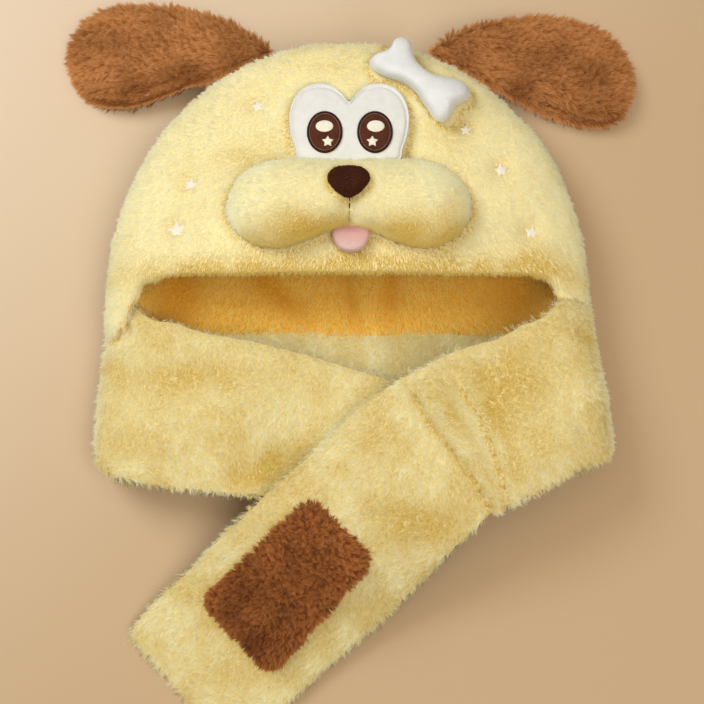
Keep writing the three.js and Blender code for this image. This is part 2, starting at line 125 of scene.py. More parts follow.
def bell(value, width):
    """1 where value is 0, falling softly to nothing over about two widths."""
    return np.exp(-((value / width) ** 2))


HASH_PRIMES = [np.uint64(prime) for prime in (73856093, 19349663, 83492791)]
SEED_PRIME = 2654435761
MIXING_PRIME = np.uint64(1274126177)


def lattice_random(corner, seed):
    """One even random number in 0 to 1 for each whole-number corner."""
    whole = corner.astype(np.int64).astype(np.uint64)
    mixed = np.uint64(seed * SEED_PRIME % 2**32)
    for axis, prime in enumerate(HASH_PRIMES):
        mixed = mixed ^ (whole[..., axis] * prime)
    mixed = (mixed ^ (mixed >> np.uint64(13))) * MIXING_PRIME
    mixed = mixed ^ (mixed >> np.uint64(16))
    return (mixed & np.uint64(0xFFFFFF)).astype(float) / 2**24


def noise(points, size, seed):
    """Smooth noise from -1 to 1 whose lumps are about size across."""
    place = points / size
    low = np.floor(place)
    t = place - low
    t = t * t * (3 - 2 * t)
    total = np.zeros(len(points))
    for corner in np.ndindex(2, 2, 2):
        share = np.prod(np.where(corner, t, 1 - t), axis=1)
        total += share * lattice_random(low + corner, seed)
    return 2 * total - 1


def tufts(points, size, seed):
    """The number of the tuft that each point belongs to: the nearest of one random centre per cell."""
    place = points / size
    low = np.floor(place)
    best = np.full(len(points), np.inf)
    owner = np.zeros((len(points), 3))
    for step in np.ndindex(3, 3, 3):
        cell = low + np.array(step) - 1
        jitter = np.stack([lattice_random(cell, seed + axis) for axis in range(3)], axis=1)
        away = np.sum((cell + jitter - place) ** 2, axis=1)
        nearer = away < best
        best[nearer] = away[nearer]
        owner[nearer] = cell[nearer]
    return np.unique(owner, axis=0, return_inverse=True)[1].ravel()


def tuft_mean(values, tuft):
    """For each point, the mean over its own tuft."""
    count = np.maximum(np.bincount(tuft), 1)
    sums = [np.bincount(tuft, weights=values[:, axis]) for axis in range(values.shape[1])]
    return (np.stack(sums, axis=1) / count[:, None])[tuft]


# Meshes

def link(name, mesh, *materials):
    """Puts a mesh in the scene, on the part's one body."""
    piece = bpy.data.objects.new(name, mesh)
    bpy.context.scene.collection.objects.link(piece)
    for material in materials:
        mesh.materials.append(material)
    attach(piece, "root")
    return piece


def read(values, key, kind=float):
    """The rows of three numbers that a mesh keeps for its vertices or faces."""
    rows = np.zeros(len(values) * 3, kind)
    values.foreach_get(key, rows)
    return rows.reshape(-1, 3)


def read_points(mesh):
    return read(mesh.vertices, "co")


def read_normals(mesh):
    return read(mesh.vertex_normals, "vector")


def read_triangles(mesh):
    mesh.calc_loop_triangles()
    return read(mesh.loop_triangles, "vertices", int)


def tree_of(meshes):
    """The faces of some meshes, for rays."""
    points = []
    faces = []
    for mesh in meshes:
        faces += (read_triangles(mesh) + len(points)).tolist()
        points += read_points(mesh).tolist()
    return BVHTree.FromPolygons(points, faces)


def node_tree(*nodes):
    return tree_of(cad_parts[node].data for node in nodes)


def height_over(tree, x, y):
    """How high a tree's faces lie over a place, seen from above; None where there are none."""
    above_all = 0.3
    hit = tree.ray_cast(Vector((x, y, above_all)), Vector((0, 0, -1)))[0]
    return hit.z if hit else None


def square(name, reach):
    """A flat square on the ground that reaches equally far each way."""
    mesh = bpy.data.meshes.new(name)
    corners = [(-reach, -reach, 0), (reach, -reach, 0), (reach, reach, 0), (-reach, reach, 0)]
    mesh.from_pydata(corners, [], [(0, 1, 2, 3)])
    return mesh


SMOOTHING_STEPS = 6
LOWEST_SKIN = 0.8 * MM
PRESSED_SHARE = 0.75  # how much shallower the pile is where it is pressed flat on the table
SIDE_SHARE = 0.3  # and on the sides of a form


def remeshed(node, voxel):
    """A smooth even copy of a node's solid."""
    copy = bpy.data.objects.new(node + "_copy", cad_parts[node].data.copy())
    bpy.context.scene.collection.objects.link(copy)
    remesh = copy.modifiers.new("remesh", "REMESH")
    remesh.mode = "VOXEL"
    remesh.voxel_size = voxel
    smooth = copy.modifiers.new("smooth", "SMOOTH")
    smooth.iterations = SMOOTHING_STEPS
    depsgraph = bpy.context.evaluated_depsgraph_get()
    mesh = bpy.data.meshes.new_from_object(copy.evaluated_get(depsgraph))
    bpy.data.objects.remove(copy)
    mesh.materials.clear()
    mesh.shade_smooth()
    return mesh


def fur_skin(node, voxel, pile, sculpt):
    """The backing that a node's fur grows from: the solid, moved in by the depth of the pile."""
    mesh = remeshed(node, voxel)
    points = read_points(mesh)
    normals = read_normals(mesh)
    pressed = smoothstep(0.3, 0.9, -normals[:, 2])
    beside = 1 - np.abs(normals[:, 2])
    points -= normals * (pile * (1 - PRESSED_SHARE * pressed) * (1 - SIDE_SHARE * beside))[:, None]
    points = sculpt(points, normals)
    points[:, 2] = np.maximum(points[:, 2], LOWEST_SKIN)
    mesh.vertices.foreach_set("co", points.astype(np.float32).ravel())
    mesh.update()
    return mesh


def openness(mesh, tree, rays=20, reach=0.06):
    """How open each vertex is to the air: 1 on a free surface, towards 0 deep in a fold."""
    points = read_points(mesh)
    normals = read_normals(mesh)
    rng = np.random.default_rng(7)
    index = np.arange(rays) + 0.5
    spread = np.sqrt(index / rays)
    turn = index * math.pi * (3 - math.sqrt(5))
    local = np.stack([spread * np.cos(turn), spread * np.sin(turn), np.sqrt(1 - spread**2)], axis=1)
    result = np.zeros(len(points))
    for number, (point, normal) in enumerate(zip(points, normals)):
        side = unit(np.cross(normal, [0.3, 0.8, 0.52]))
        other = np.cross(normal, side)
        angle = rng.random() * 2 * math.pi
        c, s = math.cos(angle), math.sin(angle)
        start = Vector(point + normal * 2.5 * MM)
        blocked = 0.0
        for x, y, z in local:
            direction = (c * x - s * y) * side + (s * x + c * y) * other + z * normal
            distance = tree.ray_cast(start, Vector(direction), reach)[3]
            if distance is not None:
                blocked += 1 - distance / reach
        result[number] = 1 - blocked / rays
    return result


def walk(route, places):
    """Points along a route on the plan, at the distances that places picks from its whole length."""
    steps = np.linalg.norm(np.diff(route, axis=0), axis=1)
    travelled = np.concatenate([[0], np.cumsum(steps)])
    wanted = places(travelled[-1])
    return np.stack([np.interp(wanted, travelled, route[:, axis]) for axis in range(2)], axis=1)


def closed_curve(points, count):
    """A smooth closed outline of count even steps through a few given points (in mm)."""
    given = np.array(points, float) * MM
    size = len(given)
    place = np.arange(count) * size / count
    index = place.astype(int)
    t = (place - index)[:, None]
    p0, p1, p2, p3 = (given[(index + step) % size] for step in (-1, 0, 1, 2))
    curve = 2 * p1 + (p2 - p0) * t + (2 * p0 - 5 * p1 + 4 * p2 - p3) * t**2
    curve += (3 * p1 - p0 - 3 * p2 + p3) * t**3
    curve /= 2
    return walk(np.vstack([curve, curve[:1]]), lambda length: np.linspace(0, length, count, endpoint=False))


def mirrored(half, centre_x):
    """A closed outline from its right half, listed from its top to its bottom."""
    right = [(centre_x + x, y) for x, y in half]
    left = [(centre_x - x, y) for x, y in reversed(half) if x != 0]
    return right + left


def oval(centre, radius_x, radius_y, count):
    angle = np.arange(count) * 2 * math.pi / count
    ring = np.stack([radius_x * np.cos(angle), radius_y * np.sin(angle)], axis=1)
    return (np.array(centre) + ring) * MM


def star(centre, radius, turn, point_width=0.5, side_points=6):
    """A five-pointed star with slightly rounded tips."""
    angle = np.radians(90 + turn + 36 * np.arange(10))
    reach = np.where(np.arange(10) % 2 == 0, radius, point_width * radius)
    tips = np.array(centre) + np.stack([reach * np.cos(angle), reach * np.sin(angle)], axis=1)
    outline = []
    for index in range(10):
        after = tips[(index + 1) % 10]
        steps = (np.arange(side_points) + 0.5) / side_points
        outline += [tips[index] * (1 - t) + after * t for t in steps]
    return np.array(outline) * MM


def tube_faces(rows, count):
    """The side faces of a stack of rings with count points each."""
    faces = []
    for row in range(rows - 1):
        low, high = row * count, (row + 1) * count
        for side in range(count):
            after = (side + 1) % count
            faces.append([low + side, low + after, high + after, high + side])
    return faces


def pad(name, outline, spine, rows, under, material, shape=None, subdivide=1):
    """A pad whose outline shrinks towards a spine. Each row is (share of the way out, height in mm)."""
    start, end = np.array(spine, float) * MM
    line = end - start
    t = np.clip((outline - start) @ line / max(line @ line, 1e-12), 0, 1)
    foot = start + t[:, None] * line
    rings = []
    for share, height in rows:
        flat = foot + (outline - foot) * share
        ring = np.column_stack([flat, under(flat[:, 0], flat[:, 1]) + height * MM])
        rings.append(shape(ring, share) if shape else ring)
    count = len(outline)
    top = (len(rings) - 1) * count
    faces = tube_faces(len(rings), count)
    faces.append([top + side for side in range(count)])
    faces.append([side for side in reversed(range(count))])
    mesh = bpy.data.meshes.new(name)
    mesh.from_pydata(np.vstack(rings).tolist(), [], faces)
    build = bmesh.new()
    build.from_mesh(mesh)
    bmesh.ops.triangulate(build, faces=[face for face in build.faces if len(face.verts) > 4])
    bmesh.ops.recalc_face_normals(build, faces=build.faces)
    build.to_mesh(mesh)
    build.free()
    mesh.shade_smooth()
    piece = link(name, mesh, material)
    if subdivide:
        subdivision = piece.modifiers.new("subdivision", "SUBSURF")
        subdivision.levels = subdivide
        subdivision.render_levels = subdivide
    return piece


def fitted_top(node, low, high, degree=4):
    """A smooth surface through the top of a node's solid, over a box given in mm."""
    tree = node_tree(node)
    steps = 24
    across, up = (np.linspace(low[axis], high[axis], steps) for axis in range(2))
    grid = [(x, y) for x in across for y in up]
    samples = [(x * MM, y * MM, height_over(tree, x * MM, y * MM)) for x, y in grid]
    samples = np.array([sample for sample in samples if sample[2] is not None])
    middle = samples[:, :2].mean(axis=0)
    reach = np.abs(samples[:, :2] - middle).max()
    powers = [(i, j) for i in range(degree + 1) for j in range(degree + 1 - i)]

    def terms(x, y):
        u = (np.asarray(x) - middle[0]) / reach
        v = (np.asarray(y) - middle[1]) / reach
        return np.stack([u**i * v**j for i, j in powers], axis=-1)

    factors = np.linalg.lstsq(terms(samples[:, 0], samples[:, 1]), samples[:, 2], rcond=None)[0]
    return lambda x, y: terms(x, y) @ factors


# Where other pieces cover the fur

class Cover:
    """A map of what lies on a piece, seen from above: 1 well inside, 0 outside, 0.5 at the edge."""

    def __init__(self, nodes, cell=0.001, margin=0.012, soften=3):
        tree = node_tree(*nodes)
        boxes = [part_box(node) for node in nodes]
        self.low = np.array([min(box[0][axis] for box in boxes) for axis in range(2)]) - margin
        high = np.array([max(box[1][axis] for box in boxes) for axis in range(2)]) + margin
        self.cell = cell
        shape = np.ceil((high - self.low) / cell).astype(int)
        hits = np.zeros(shape)
        for i in range(shape[0]):
            for j in range(shape[1]):
                x, y = self.low + (np.array([i, j]) + 0.5) * cell
                hits[i, j] = height_over(tree, x, y) is not None
        for _ in range(2):
            hits = self.blur(hits, soften)
        self.share = hits
        self.slope = np.stack(np.gradient(hits), axis=-1)

    @staticmethod
    def blur(values, reach):
        for axis in range(2):
            moved = [np.roll(values, step, axis) for step in range(-reach, reach + 1)]
            values = np.mean(moved, axis=0)
        return values

    def look(self, points):
        place = ((points[:, :2] - self.low) / self.cell).astype(int)
        inside = np.all((place >= 0) & (place < self.share.shape), axis=1)
        place = np.clip(place, 0, np.array(self.share.shape) - 1)
        share = np.where(inside, self.share[place[:, 0], place[:, 1]], 0)
        away = -self.slope[place[:, 0], place[:, 1]] * inside[:, None]
        return share, np.column_stack([away, np.zeros(len(points))])


# Fur

def scatter(mesh, vertex_values, count, weight, rng):
    """Evenly spread points on a mesh, with their normals and values; weight thins them out by place."""
    points = read_points(mesh)
    normals = read_normals(mesh)
    triangles = read_triangles(mesh)
    corners = points[triangles]
    cross = np.cross(corners[:, 1] - corners[:, 0], corners[:, 2] - corners[:, 0])
    area = np.linalg.norm(cross, axis=1) * weight(corners.mean(axis=1), unit(cross))
    total = np.cumsum(area)
    picks = (np.arange(count) + rng.random(count)) / count * total[-1]
    chosen = np.minimum(np.searchsorted(total, picks), len(triangles) - 1)
    a, b = rng.random((2, count))
    flip = a + b > 1
    a[flip], b[flip] = 1 - a[flip], 1 - b[flip]
    shares = np.stack([1 - a - b, a, b], axis=1)[:, :, None]
    roots = np.sum(points[triangles[chosen]] * shares, axis=1)
    root_normals = unit(np.sum(normals[triangles[chosen]] * shares, axis=1))
    return roots, root_normals, np.sum(vertex_values[triangles[chosen]] * shares[:, :, 0], axis=1)


UP = np.array([0, 0, 1.0])
SHADED_UNDERSIDE = np.array([0.3, -0.9, -0.3])  # where a soft form turns down, its pile is given deeper colour: painted shade
GUARD_SHARE = 0.05  # of the strands are longer than the rest
GUARD_LENGTH = 1.3
ROOT_DEPTH = 0.8  # mm below the skin
LOWEST_STRAND = 0.0006
HIDDEN = 0.6  # strands this far under a cover are left out
BLADE = np.array([0, 1, 2, 2, 1, 3])  # the corners of a strand's two triangles: root, sides and tip

# The least and most share of a look's length, of its width to each side, and of its clump
LENGTHS = (0.65, 1.12)
HALF_WIDTHS = (0.35, 0.65)
CLUMPS = (0.6, 1.2)

# A tuft's share of a look's lean: its spread, and its least and most
TUFT_SPREAD = 0.35
TUFT_LEANS = (0.4, 1.7)

# A strand's own lean in radians: its spread, and the least and most of its lower and upper half
STRAND_SPREAD = 0.16
LOWER_LEANS = (0.05, 1.45)
UPPER_LEANS = (0.05, 1.5)

# How strongly the pile turns away from what lies on it, and hangs down on a side
PARTING = 6
HANGING = 2

# How far a strand faces outwards as well as up, and the spread of its twist and of its shading
FACING_OUT = 0.35
TWIST_SPREAD = 0.2
SHADE_SPREAD = 0.04

# The sizes of the pile's swirls, and of the broad and the small patches in its tone
SWIRL_SIZE = 0.022
BROAD_PATCH = 0.017
SMALL_PATCH = 0.007

# What the tuft, the patches and the strand itself each add to the mottle
TUFT_TONE = 0.35
PATCH_TONE = 0.45
STRAND_TONE = 0.2


def lean_strands(look, roots, normals, wanted, tuft, rng, seed):
    """The directions of each strand's lower and upper half, and the tone of its tuft."""
    count = tuft.max() + 1
    turn = (rng.normal(size=(count, 3)) * look["tuft_turn"])[tuft]
    tone = rng.random(count)[tuft]
    tuft_lean = (1 + TUFT_SPREAD * rng.normal(size=count))[tuft]
    swirl = np.stack([noise(roots, SWIRL_SIZE, seed + axis + 5) for axis in range(3)], axis=1)
    flow, away = wanted
    along = flow + look["swirl"] * swirl + turn + PARTING * away
    along += look["stray"] * rng.normal(size=roots.shape)
    along[:, 2] -= HANGING * (1 - np.abs(normals[:, 2])) * (normals[:, 2] > -0.4)
    along = unit(along - dots(along, normals) * normals)
    lean = np.radians(look["lean"]) * np.clip(tuft_lean, *TUFT_LEANS)
    lean = np.clip(lean + rng.normal(size=len(roots)) * STRAND_SPREAD, *LOWER_LEANS)[:, None]
    end_lean = np.clip(lean + np.radians(look["bend"]), *UPPER_LEANS)
    lower = unit(normals * np.cos(lean) + along * np.sin(lean))
    upper = unit(normals * np.cos(end_lean) + along * np.sin(end_lean))
    return lower, upper, tone


def strand_lengths(look, roots, beside, covered, rng):
    """Shorter next to a cover, on a form's side and in its dimples, and longer here and there."""
    length = look["length"] * MM * rng.uniform(*LENGTHS, len(roots))
    length *= 1 - 0.55 * smoothstep(0.12, 0.5, covered)
    length *= np.where(rng.random(len(roots)) < GUARD_SHARE, GUARD_LENGTH, 1)
    length *= 1 - look["trim"] * beside
    length *= 1 - 0.6 * look["dimples"](roots)
    return length[:, None]


def blade_normals(points):
    return np.cross(points[:, 1] - points[:, 0], points[:, 2] - points[:, 0])


def blades(look, roots, normals, lower, middle, tip, rng):
    """The four corners of each strand, turned to face up, and the normals that light them."""
    strand = unit(tip - roots)
    facing = FACING_OUT * normals + UP
    side = unit(np.cross(strand, facing))
    twist = rng.normal(size=len(roots))[:, None] * TWIST_SPREAD
    side = side * np.cos(twist) + np.cross(strand, side) * np.sin(twist)
    half = look["width"] * MM * rng.uniform(*HALF_WIDTHS, len(roots))[:, None]
    start = roots - lower * ROOT_DEPTH * MM
    points = np.stack([start, middle - side * half, middle + side * half, tip], axis=1)
    turned = dots(blade_normals(points), facing)[:, 0] < 0
    points[turned, 1], points[turned, 2] = points[turned, 2].copy(), points[turned, 1].copy()

    soft = look["soft"]
    lifted = unit(normals + np.array([0, 0, look["glow"]]))  # light seeps through a fringe seen edge on
    shade = soft * lifted + (1 - soft) * unit(blade_normals(points))
    shade = unit(shade + SHADE_SPREAD * rng.normal(size=roots.shape))
    lit = np.stack([unit(lifted + 0.3 * shade), shade, shade, unit(shade + 0.3 * strand)], axis=1)
    return points, lit


def strand_map(look, roots, normals, open_share, covered, tuft_tone, rng, seed):
    """Where a strand's corners lie on its material's map: its tone across, with painted shade and a painted
    edge highlight in it, and the way from root to tip up it.
    """
    patches = noise(roots, BROAD_PATCH, seed + 40) + 0.5 * noise(roots, SMALL_PATCH, seed + 41)
    patches = smoothstep(-0.5, 0.5, patches)
    vary = TUFT_TONE * tuft_tone + PATCH_TONE * patches + STRAND_TONE * rng.random(len(roots))
    # Painted shade: deeper colour where the pile is less open to the air, on the undersides of soft forms,
    # in hollows, dimples, creases and seams, and next to the pieces that lie on the pile
    low, high = look["shade_by_openness"]
    tone = smoothstep(low, high, open_share) * (1 - look["mottle"] * vary)
    tone *= 1 - look["under"] * smoothstep(0.15, 0.85, normals @ SHADED_UNDERSIDE)
    tone *= 1 - look["hollow_shade"](roots)
    tone *= 1 - look["dimple_shade"] * look["dimples"](roots)
    tone *= 1 - 0.75 * smoothstep(0.08, 0.45, covered)
    # Sides are made paler: a painted highlight along the edges
    rim = smoothstep(0.65, 0.2, normals[:, 2]) * (normals[:, 2] > -0.3)
    tone += (1 - tone) * look["rim"] * rim
    tone = 0.02 + 0.95 * np.clip(tone, 0, 1)
    across = np.stack([tone, tone - 0.006, tone + 0.006, tone], axis=1)
    up = np.tile([0.0, 0.5, 0.5, 1.0], (len(roots), 1))
    up += (1 - up) * 0.6 * rim[:, None]  # along an edge the strands take their pale ends' colour: painted highlight, besides the pale ends that show there
    return np.stack([across, up], axis=-1)


def grow_fur(name, skin, count, look, flow, weight, material, cover=None, seed=1):
    """One mesh of bent, tapered strands. look gives their sizes (mm) and how they lean and clump."""
    rng = np.random.default_rng(seed)
    roots, normals, open_share = scatter(*skin, int(count * SHARE), weight, rng)
    covered = np.zeros(len(roots))
    away = np.zeros_like(roots)
    if cover:
        covered, away = cover.look(roots)
        free = (covered < HIDDEN) | (normals[:, 2] < 0.1) | (roots[:, 2] < look["cover_above"])
        roots, normals, open_share = roots[free], normals[free], open_share[free]
        covered, away = covered[free], away[free]

    tuft = tufts(roots, look["tuft"] * MM, seed)
    wanted = flow(roots, normals), away
    lower, upper, tuft_tone = lean_strands(look, roots, normals, wanted, tuft, rng, seed)
    beside = smoothstep(0.65, 0.2, np.abs(normals[:, 2]))
    length = strand_lengths(look, roots, beside, covered, rng)
    middle = roots + lower * length * 0.5
    tip = middle + upper * length * 0.5
    clump = (look["clump"] * rng.uniform(*CLUMPS, len(roots)) * (1 - 0.85 * beside))[:, None]
    middle += (tuft_mean(middle, tuft) - middle) * clump * 0.3
    tip += (tuft_mean(tip, tuft) - tip) * np.minimum(clump, 0.95)
    for places in (middle, tip):
        places[:, 2] = np.maximum(places[:, 2], LOWEST_STRAND)
    points, lit = blades(look, roots, normals, lower, middle, tip, rng)

    fur = bpy.data.meshes.new(name)
    faces = (np.arange(len(roots))[:, None] * 4 + BLADE).reshape(-1, 3)
    fur.from_pydata(points.reshape(-1, 3), [], faces)
    fur.shade_smooth()
    fur.normals_split_custom_set_from_vertices(lit.reshape(-1, 3))
    places = strand_map(look, roots, normals, open_share, covered, tuft_tone, rng, seed)
    layer = fur.uv_layers.new(name="OFBake")
    layer.data.foreach_set("uv", places[:, BLADE].astype(np.float32).ravel())
    piece = link(name, fur, material)
    piece.visible_shadow = False  # pale fibres let light through; the skin below throws the shadow
    return piece


# Materials

def colour(code):
    """A linear colour from a hexadecimal screen colour."""
    parts = [int(code[index:index + 2], 16) / 255 for index in (0, 2, 4)]
    linear = [part / 12.92 if part <= 0.04045 else ((part + 0.055) / 1.055) ** 2.4 for part in parts]
    return (*linear, 1)


class Paint:
    """A material under construction: its nodes and the principled shader at their end."""

    def __init__(self, name, roughness=0.9, sheen=0.3, sheen_tint="FFFFFF", specular=0.2):
        self.material = bpy.data.materials.new(name)
        self.material.use_nodes = True
        self.nodes = self.material.node_tree.nodes
        self.shader = self.nodes["Principled BSDF"]
        self.shader.inputs["Roughness"].default_value = roughness
        self.shader.inputs["Sheen Weight"].default_value = sheen
        self.shader.inputs["Sheen Roughness"].default_value = 0.5
        self.shader.inputs["Sheen Tint"].default_value = colour(sheen_tint)
        self.shader.inputs["Specular IOR Level"].default_value = specular

    def feed(self, node, inputs):
        """Links each named input of a node to an output, or sets it to a value."""
        for key, value in inputs.items():
            if isinstance(value, bpy.types.NodeSocket):
                self.material.node_tree.links.new(value, node.inputs[key])
            else:
                node.inputs[key].default_value = value

    def add(self, kind, inputs, **settings):
        """The outputs of a new node."""
        node = self.nodes.new("ShaderNode" + kind)
        for key, value in settings.items():
            setattr(node, key, value)
        self.feed(node, inputs)
        return node.outputs

    def noise(self, scale, detail=4, stretch=None):
        place = self.add("TexCoord", {})["Object"]
        if stretch:
            place = self.add("Mapping", {"Vector": place, "Scale": stretch})["Vector"]
        return self.add("TexNoise", {"Vector": place, "Scale": scale, "Detail": detail})["Fac"]

    def ramp(self, factor, stops):
        outputs = self.add("ValToRGB", {"Fac": factor})
        bands = self.nodes[-1].color_ramp
        bands.interpolation = "EASE"
        while len(bands.elements) < len(stops):
            bands.elements.new(0.5)
        for element, (place, code) in zip(bands.elements, stops):
            element.position = place
            element.color = colour(code)
        return outputs["Color"]

    def mix(self, factor, first, second):
        return self.add("Mix", {"Factor": factor, 6: first, 7: second}, data_type="RGBA")[2]

    def slope(self, direction, low, high):
        """0 to 1 along a direction over the object, between two places in metres."""
        place = self.add("TexCoord", {})["Object"]
        along = self.add("VectorMath", {0: place, 1: direction}, operation="DOT_PRODUCT")["Value"]
        return self.add("MapRange", {"Value": along, "From Min": low, "From Max": high})["Result"]

    def bump(self, height, strength, distance):
        relief = self.add("Bump", {"Height": height, "Strength": strength, "Distance": distance})
        self.feed(self.shader, {"Normal": relief["Normal"]})

    def finish(self, surface):
        self.feed(self.shader, {"Base Color": surface})
        return self.material


THROUGH = 0.42  # the share of the light on a fibre that comes through it


def fur_paint(name, light_stops, deep_stops, sheen, sheen_tint):
    """Strands: light or deep by the tone across the map, and from root to tip up it."""
    paint = Paint(name, roughness=0.85, sheen=sheen, sheen_tint=sheen_tint, specular=0.15)
    place = paint.add("UVMap", {}, uv_map="OFBake")["UV"]
    split = paint.add("SeparateXYZ", {"Vector": place})
    light = paint.ramp(split["Y"], light_stops)
    deep = paint.ramp(split["Y"], deep_stops)
    fibre = paint.mix(split["X"], deep, light)
    through = paint.add("BsdfTranslucent", {"Color": fibre})["BSDF"]
    both = paint.add("MixShader", {"Fac": THROUGH, 1: paint.shader.outputs["BSDF"], 2: through})["Shader"]
    paint.feed(paint.nodes["Material Output"], {"Surface": both})
    return paint.finish(fibre)


def backing_paint(name, low, high, sheen_tint):
    """The cloth under the fur, seen only in deep gaps."""
    paint = Paint(name, roughness=0.95, sheen=0.2, sheen_tint=sheen_tint, specular=0.1)
    fine = paint.noise(900, 6)
    paint.bump(fine, 0.6, 0.001)
    return paint.finish(paint.ramp(fine, [(0.3, low), (0.7, high)]))


def cloth_paint(name, low, high, scale, bump, sheen=0.3, sheen_tint="FFFFFF", stretch=None):
    """Felt, velvet or satin thread: a fine grain in colour and relief."""
    paint = Paint(name, roughness=0.85, sheen=sheen, sheen_tint=sheen_tint, specular=0.25)
    fine = paint.noise(scale, 5, stretch=stretch)
    broad = paint.noise(scale / 14, 2)
    paint.bump(fine, bump, 0.0004)
    grain = paint.ramp(fine, [(0.3, low), (0.7, high)])
    wash = paint.ramp(broad, [(0.25, low), (0.75, high)])
    return paint.finish(paint.mix(0.5, grain, wash))


def tongue_paint():
    """Pink velvet, deeper towards the mouth."""
    paint = Paint("tongue_cloth", roughness=0.85, sheen=0.4, sheen_tint="FFE6E2", specular=0.25)
    fine = paint.noise(2400, 5)
    paint.bump(fine, 0.35, 0.0004)
    inwards = paint.slope((0, 1, 0), -0.038, -0.024)
    wash = paint.ramp(inwards, [(0.0, "D6B9B5"), (0.55, "CCA3A1"), (1.0, "A87270")])
    grain = paint.ramp(fine, [(0.3, "D4A39F"), (0.7, "DCBAB4")])
    return paint.finish(paint.mix(0.25, wash, grain))


# Screen colours of the fibres from root to tip, where the pile is light and where it is deep
# The deep colours serve both the pile's random mottle and painted shade; the darker roots are painted shade
# deep in the pile
YELLOW_LIGHT = [(0.0, "D4C896"), (0.35, "E2E0BE"), (0.7, "E8EBD8"), (1.0, "EEF3EC")]
YELLOW_DEEP = [(0.0, "A07C24"), (0.35, "C2A642"), (0.7, "D5BE60"), (1.0, "E0CE7C")]
# The lining's colours are golden and saturated: painted shade and warm bounce light inside the hood
INSIDE_SHADE_LIGHT = [(0.0, "E8C858"), (0.35, "F0DE7C"), (0.7, "F0E894"), (1.0, "F0F0B0")]
INSIDE_SHADE_DEEP = [(0.0, "AC7418"), (0.35, "CE9828"), (0.7, "DCA838"), (1.0, "E8B84C")]
BROWN_LIGHT = [(0.0, "825127"), (0.35, "AD753E"), (0.7, "D39A5D"), (1.0, "EEC18E")]
BROWN_DEEP = [(0.0, "4B2810"), (0.35, "6F3E1A"), (0.7, "935A2C"), (1.0, "AF7947")]
PATCH_LIGHT = [(0.0, "572C10"), (0.35, "8C4E21"), (0.7, "BC7B42"), (1.0, "D89F66")]
PATCH_DEEP = [(0.0, "2E1608"), (0.35, "552C13"), (0.7, "7B4722"), (1.0, "966137")]

paints = {
    "yellow": fur_paint("plush_yellow", YELLOW_LIGHT, YELLOW_DEEP, 0.3, "FFEFC0"),
    # The lining's fur is painted golden for the shade and warm bounce light inside the hood
    "inside": fur_paint("plush_yellow_inside_shaded", INSIDE_SHADE_LIGHT, INSIDE_SHADE_DEEP, 0.6, "FFE0A0"),
    "brown": fur_paint("plush_brown", BROWN_LIGHT, BROWN_DEEP, 0.25, "E8B88C"),
    "patch": fur_paint("plush_patch", PATCH_LIGHT, PATCH_DEEP, 0.2, "D9A478"),
    "nose_pile": fur_paint("nose_pile", [(0.0, "2A1109"), (1.0, "5E3020")],
                           [(0.0, "1E0B05"), (1.0, "472013")], 0.2, "A06A50"),
    "hood_backing": backing_paint("hood_backing", "E2D298", "ECE0B0", "FFF0C8"),
    # The scarf's backing is darker than the hood's: painted shade in the deep gaps of its pile
    "scarf_backing_shaded": backing_paint("scarf_backing_shaded", "CEBC7C", "DACC94", "FFEFC0"),
    # The lining's backing, painted golden for the shade inside the hood
    "inside_shaded_backing": backing_paint("inside_shaded_backing", "D09628", "E8B444", "FFE0A0"),
    "brown_backing": backing_paint("brown_backing", "5E3820", "8C5A36", "D8A070"),
    "felt": cloth_paint("felt_white", "D5D6D4", "E2E4E2", 2600, 0.25),
    "pupil": cloth_paint("pupil_cloth", "39180C", "5A2D1B", 2200, 0.5, sheen_tint="C08A70"),
    "rim": cloth_paint("rim_thread", "1C0D08", "35190F", 3000, 0.4, sheen_tint="A07A60"),
    "line": cloth_paint("line_thread", "906A58", "B08C78", 3000, 0.4),
    "thread": cloth_paint("thread_white", "DEDACB", "EEEADC", 2500, 0.4, stretch=(1, 0.15, 1)),
    "nose": cloth_paint("nose_cloth", "3A1A0E", "5C2D18", 2500, 0.5, sheen_tint="B08068"),
    "tongue": tongue_paint(),
    "bone": cloth_paint("bone_cloth", "D6DADC", "E6EAEE", 2000, 0.3),
    "mouth": cloth_paint("mouth_thread", "4A2A18", "6A4028", 3000, 0.4),
    "crease": cloth_paint("crease_thread", "A87A3C", "C29A58", 3000, 0.4),
}


# Floor

FLOOR_REACH = 20.0


def add_floor():
    mesh = square("floor", FLOOR_REACH)
    paint = Paint("floor", roughness=0.6, sheen=0, specular=0.2)
    mesh.materials.append(paint.material)
    # The floor is lighter towards the upper left: painted light falling off across it
    across = paint.slope((-0.7, 0.7, 0), -0.16, 0.3)
    paint.finish(paint.ramp(across, [(0.0, "C0A684"), (1.0, "D9C6AE")]))
    floor = bpy.data.objects.new("floor", mesh)
    bpy.context.scene.collection.objects.link(floor)


# Sculpting

def line_distance(points, line):
    """Signed distance of each point from a line on the ground plan (left is plus), and how far along."""
    corners = np.array(line, float) * MM
    lengths = np.linalg.norm(np.diff(corners, axis=0), axis=1)
    best = np.full(len(points), np.inf)
    signed = np.zeros(len(points))
    along = np.zeros(len(points))
    travelled = 0.0
    for start, end, length in zip(corners[:-1], corners[1:], lengths):
        direction = (end - start) / length
        offset = points[:, :2] - start
        t = np.clip(offset @ direction, 0, length)
        gap = offset - t[:, None] * direction
        distance = np.linalg.norm(gap, axis=1)
        left = direction[0] * offset[:, 1] - direction[1] * offset[:, 0]
        nearer = distance < best
        best[nearer] = distance[nearer]
        signed[nearer] = np.copysign(distance, left)[nearer]
        along[nearer] = ((travelled + t) / lengths.sum())[nearer]
        travelled += length
    return signed, along


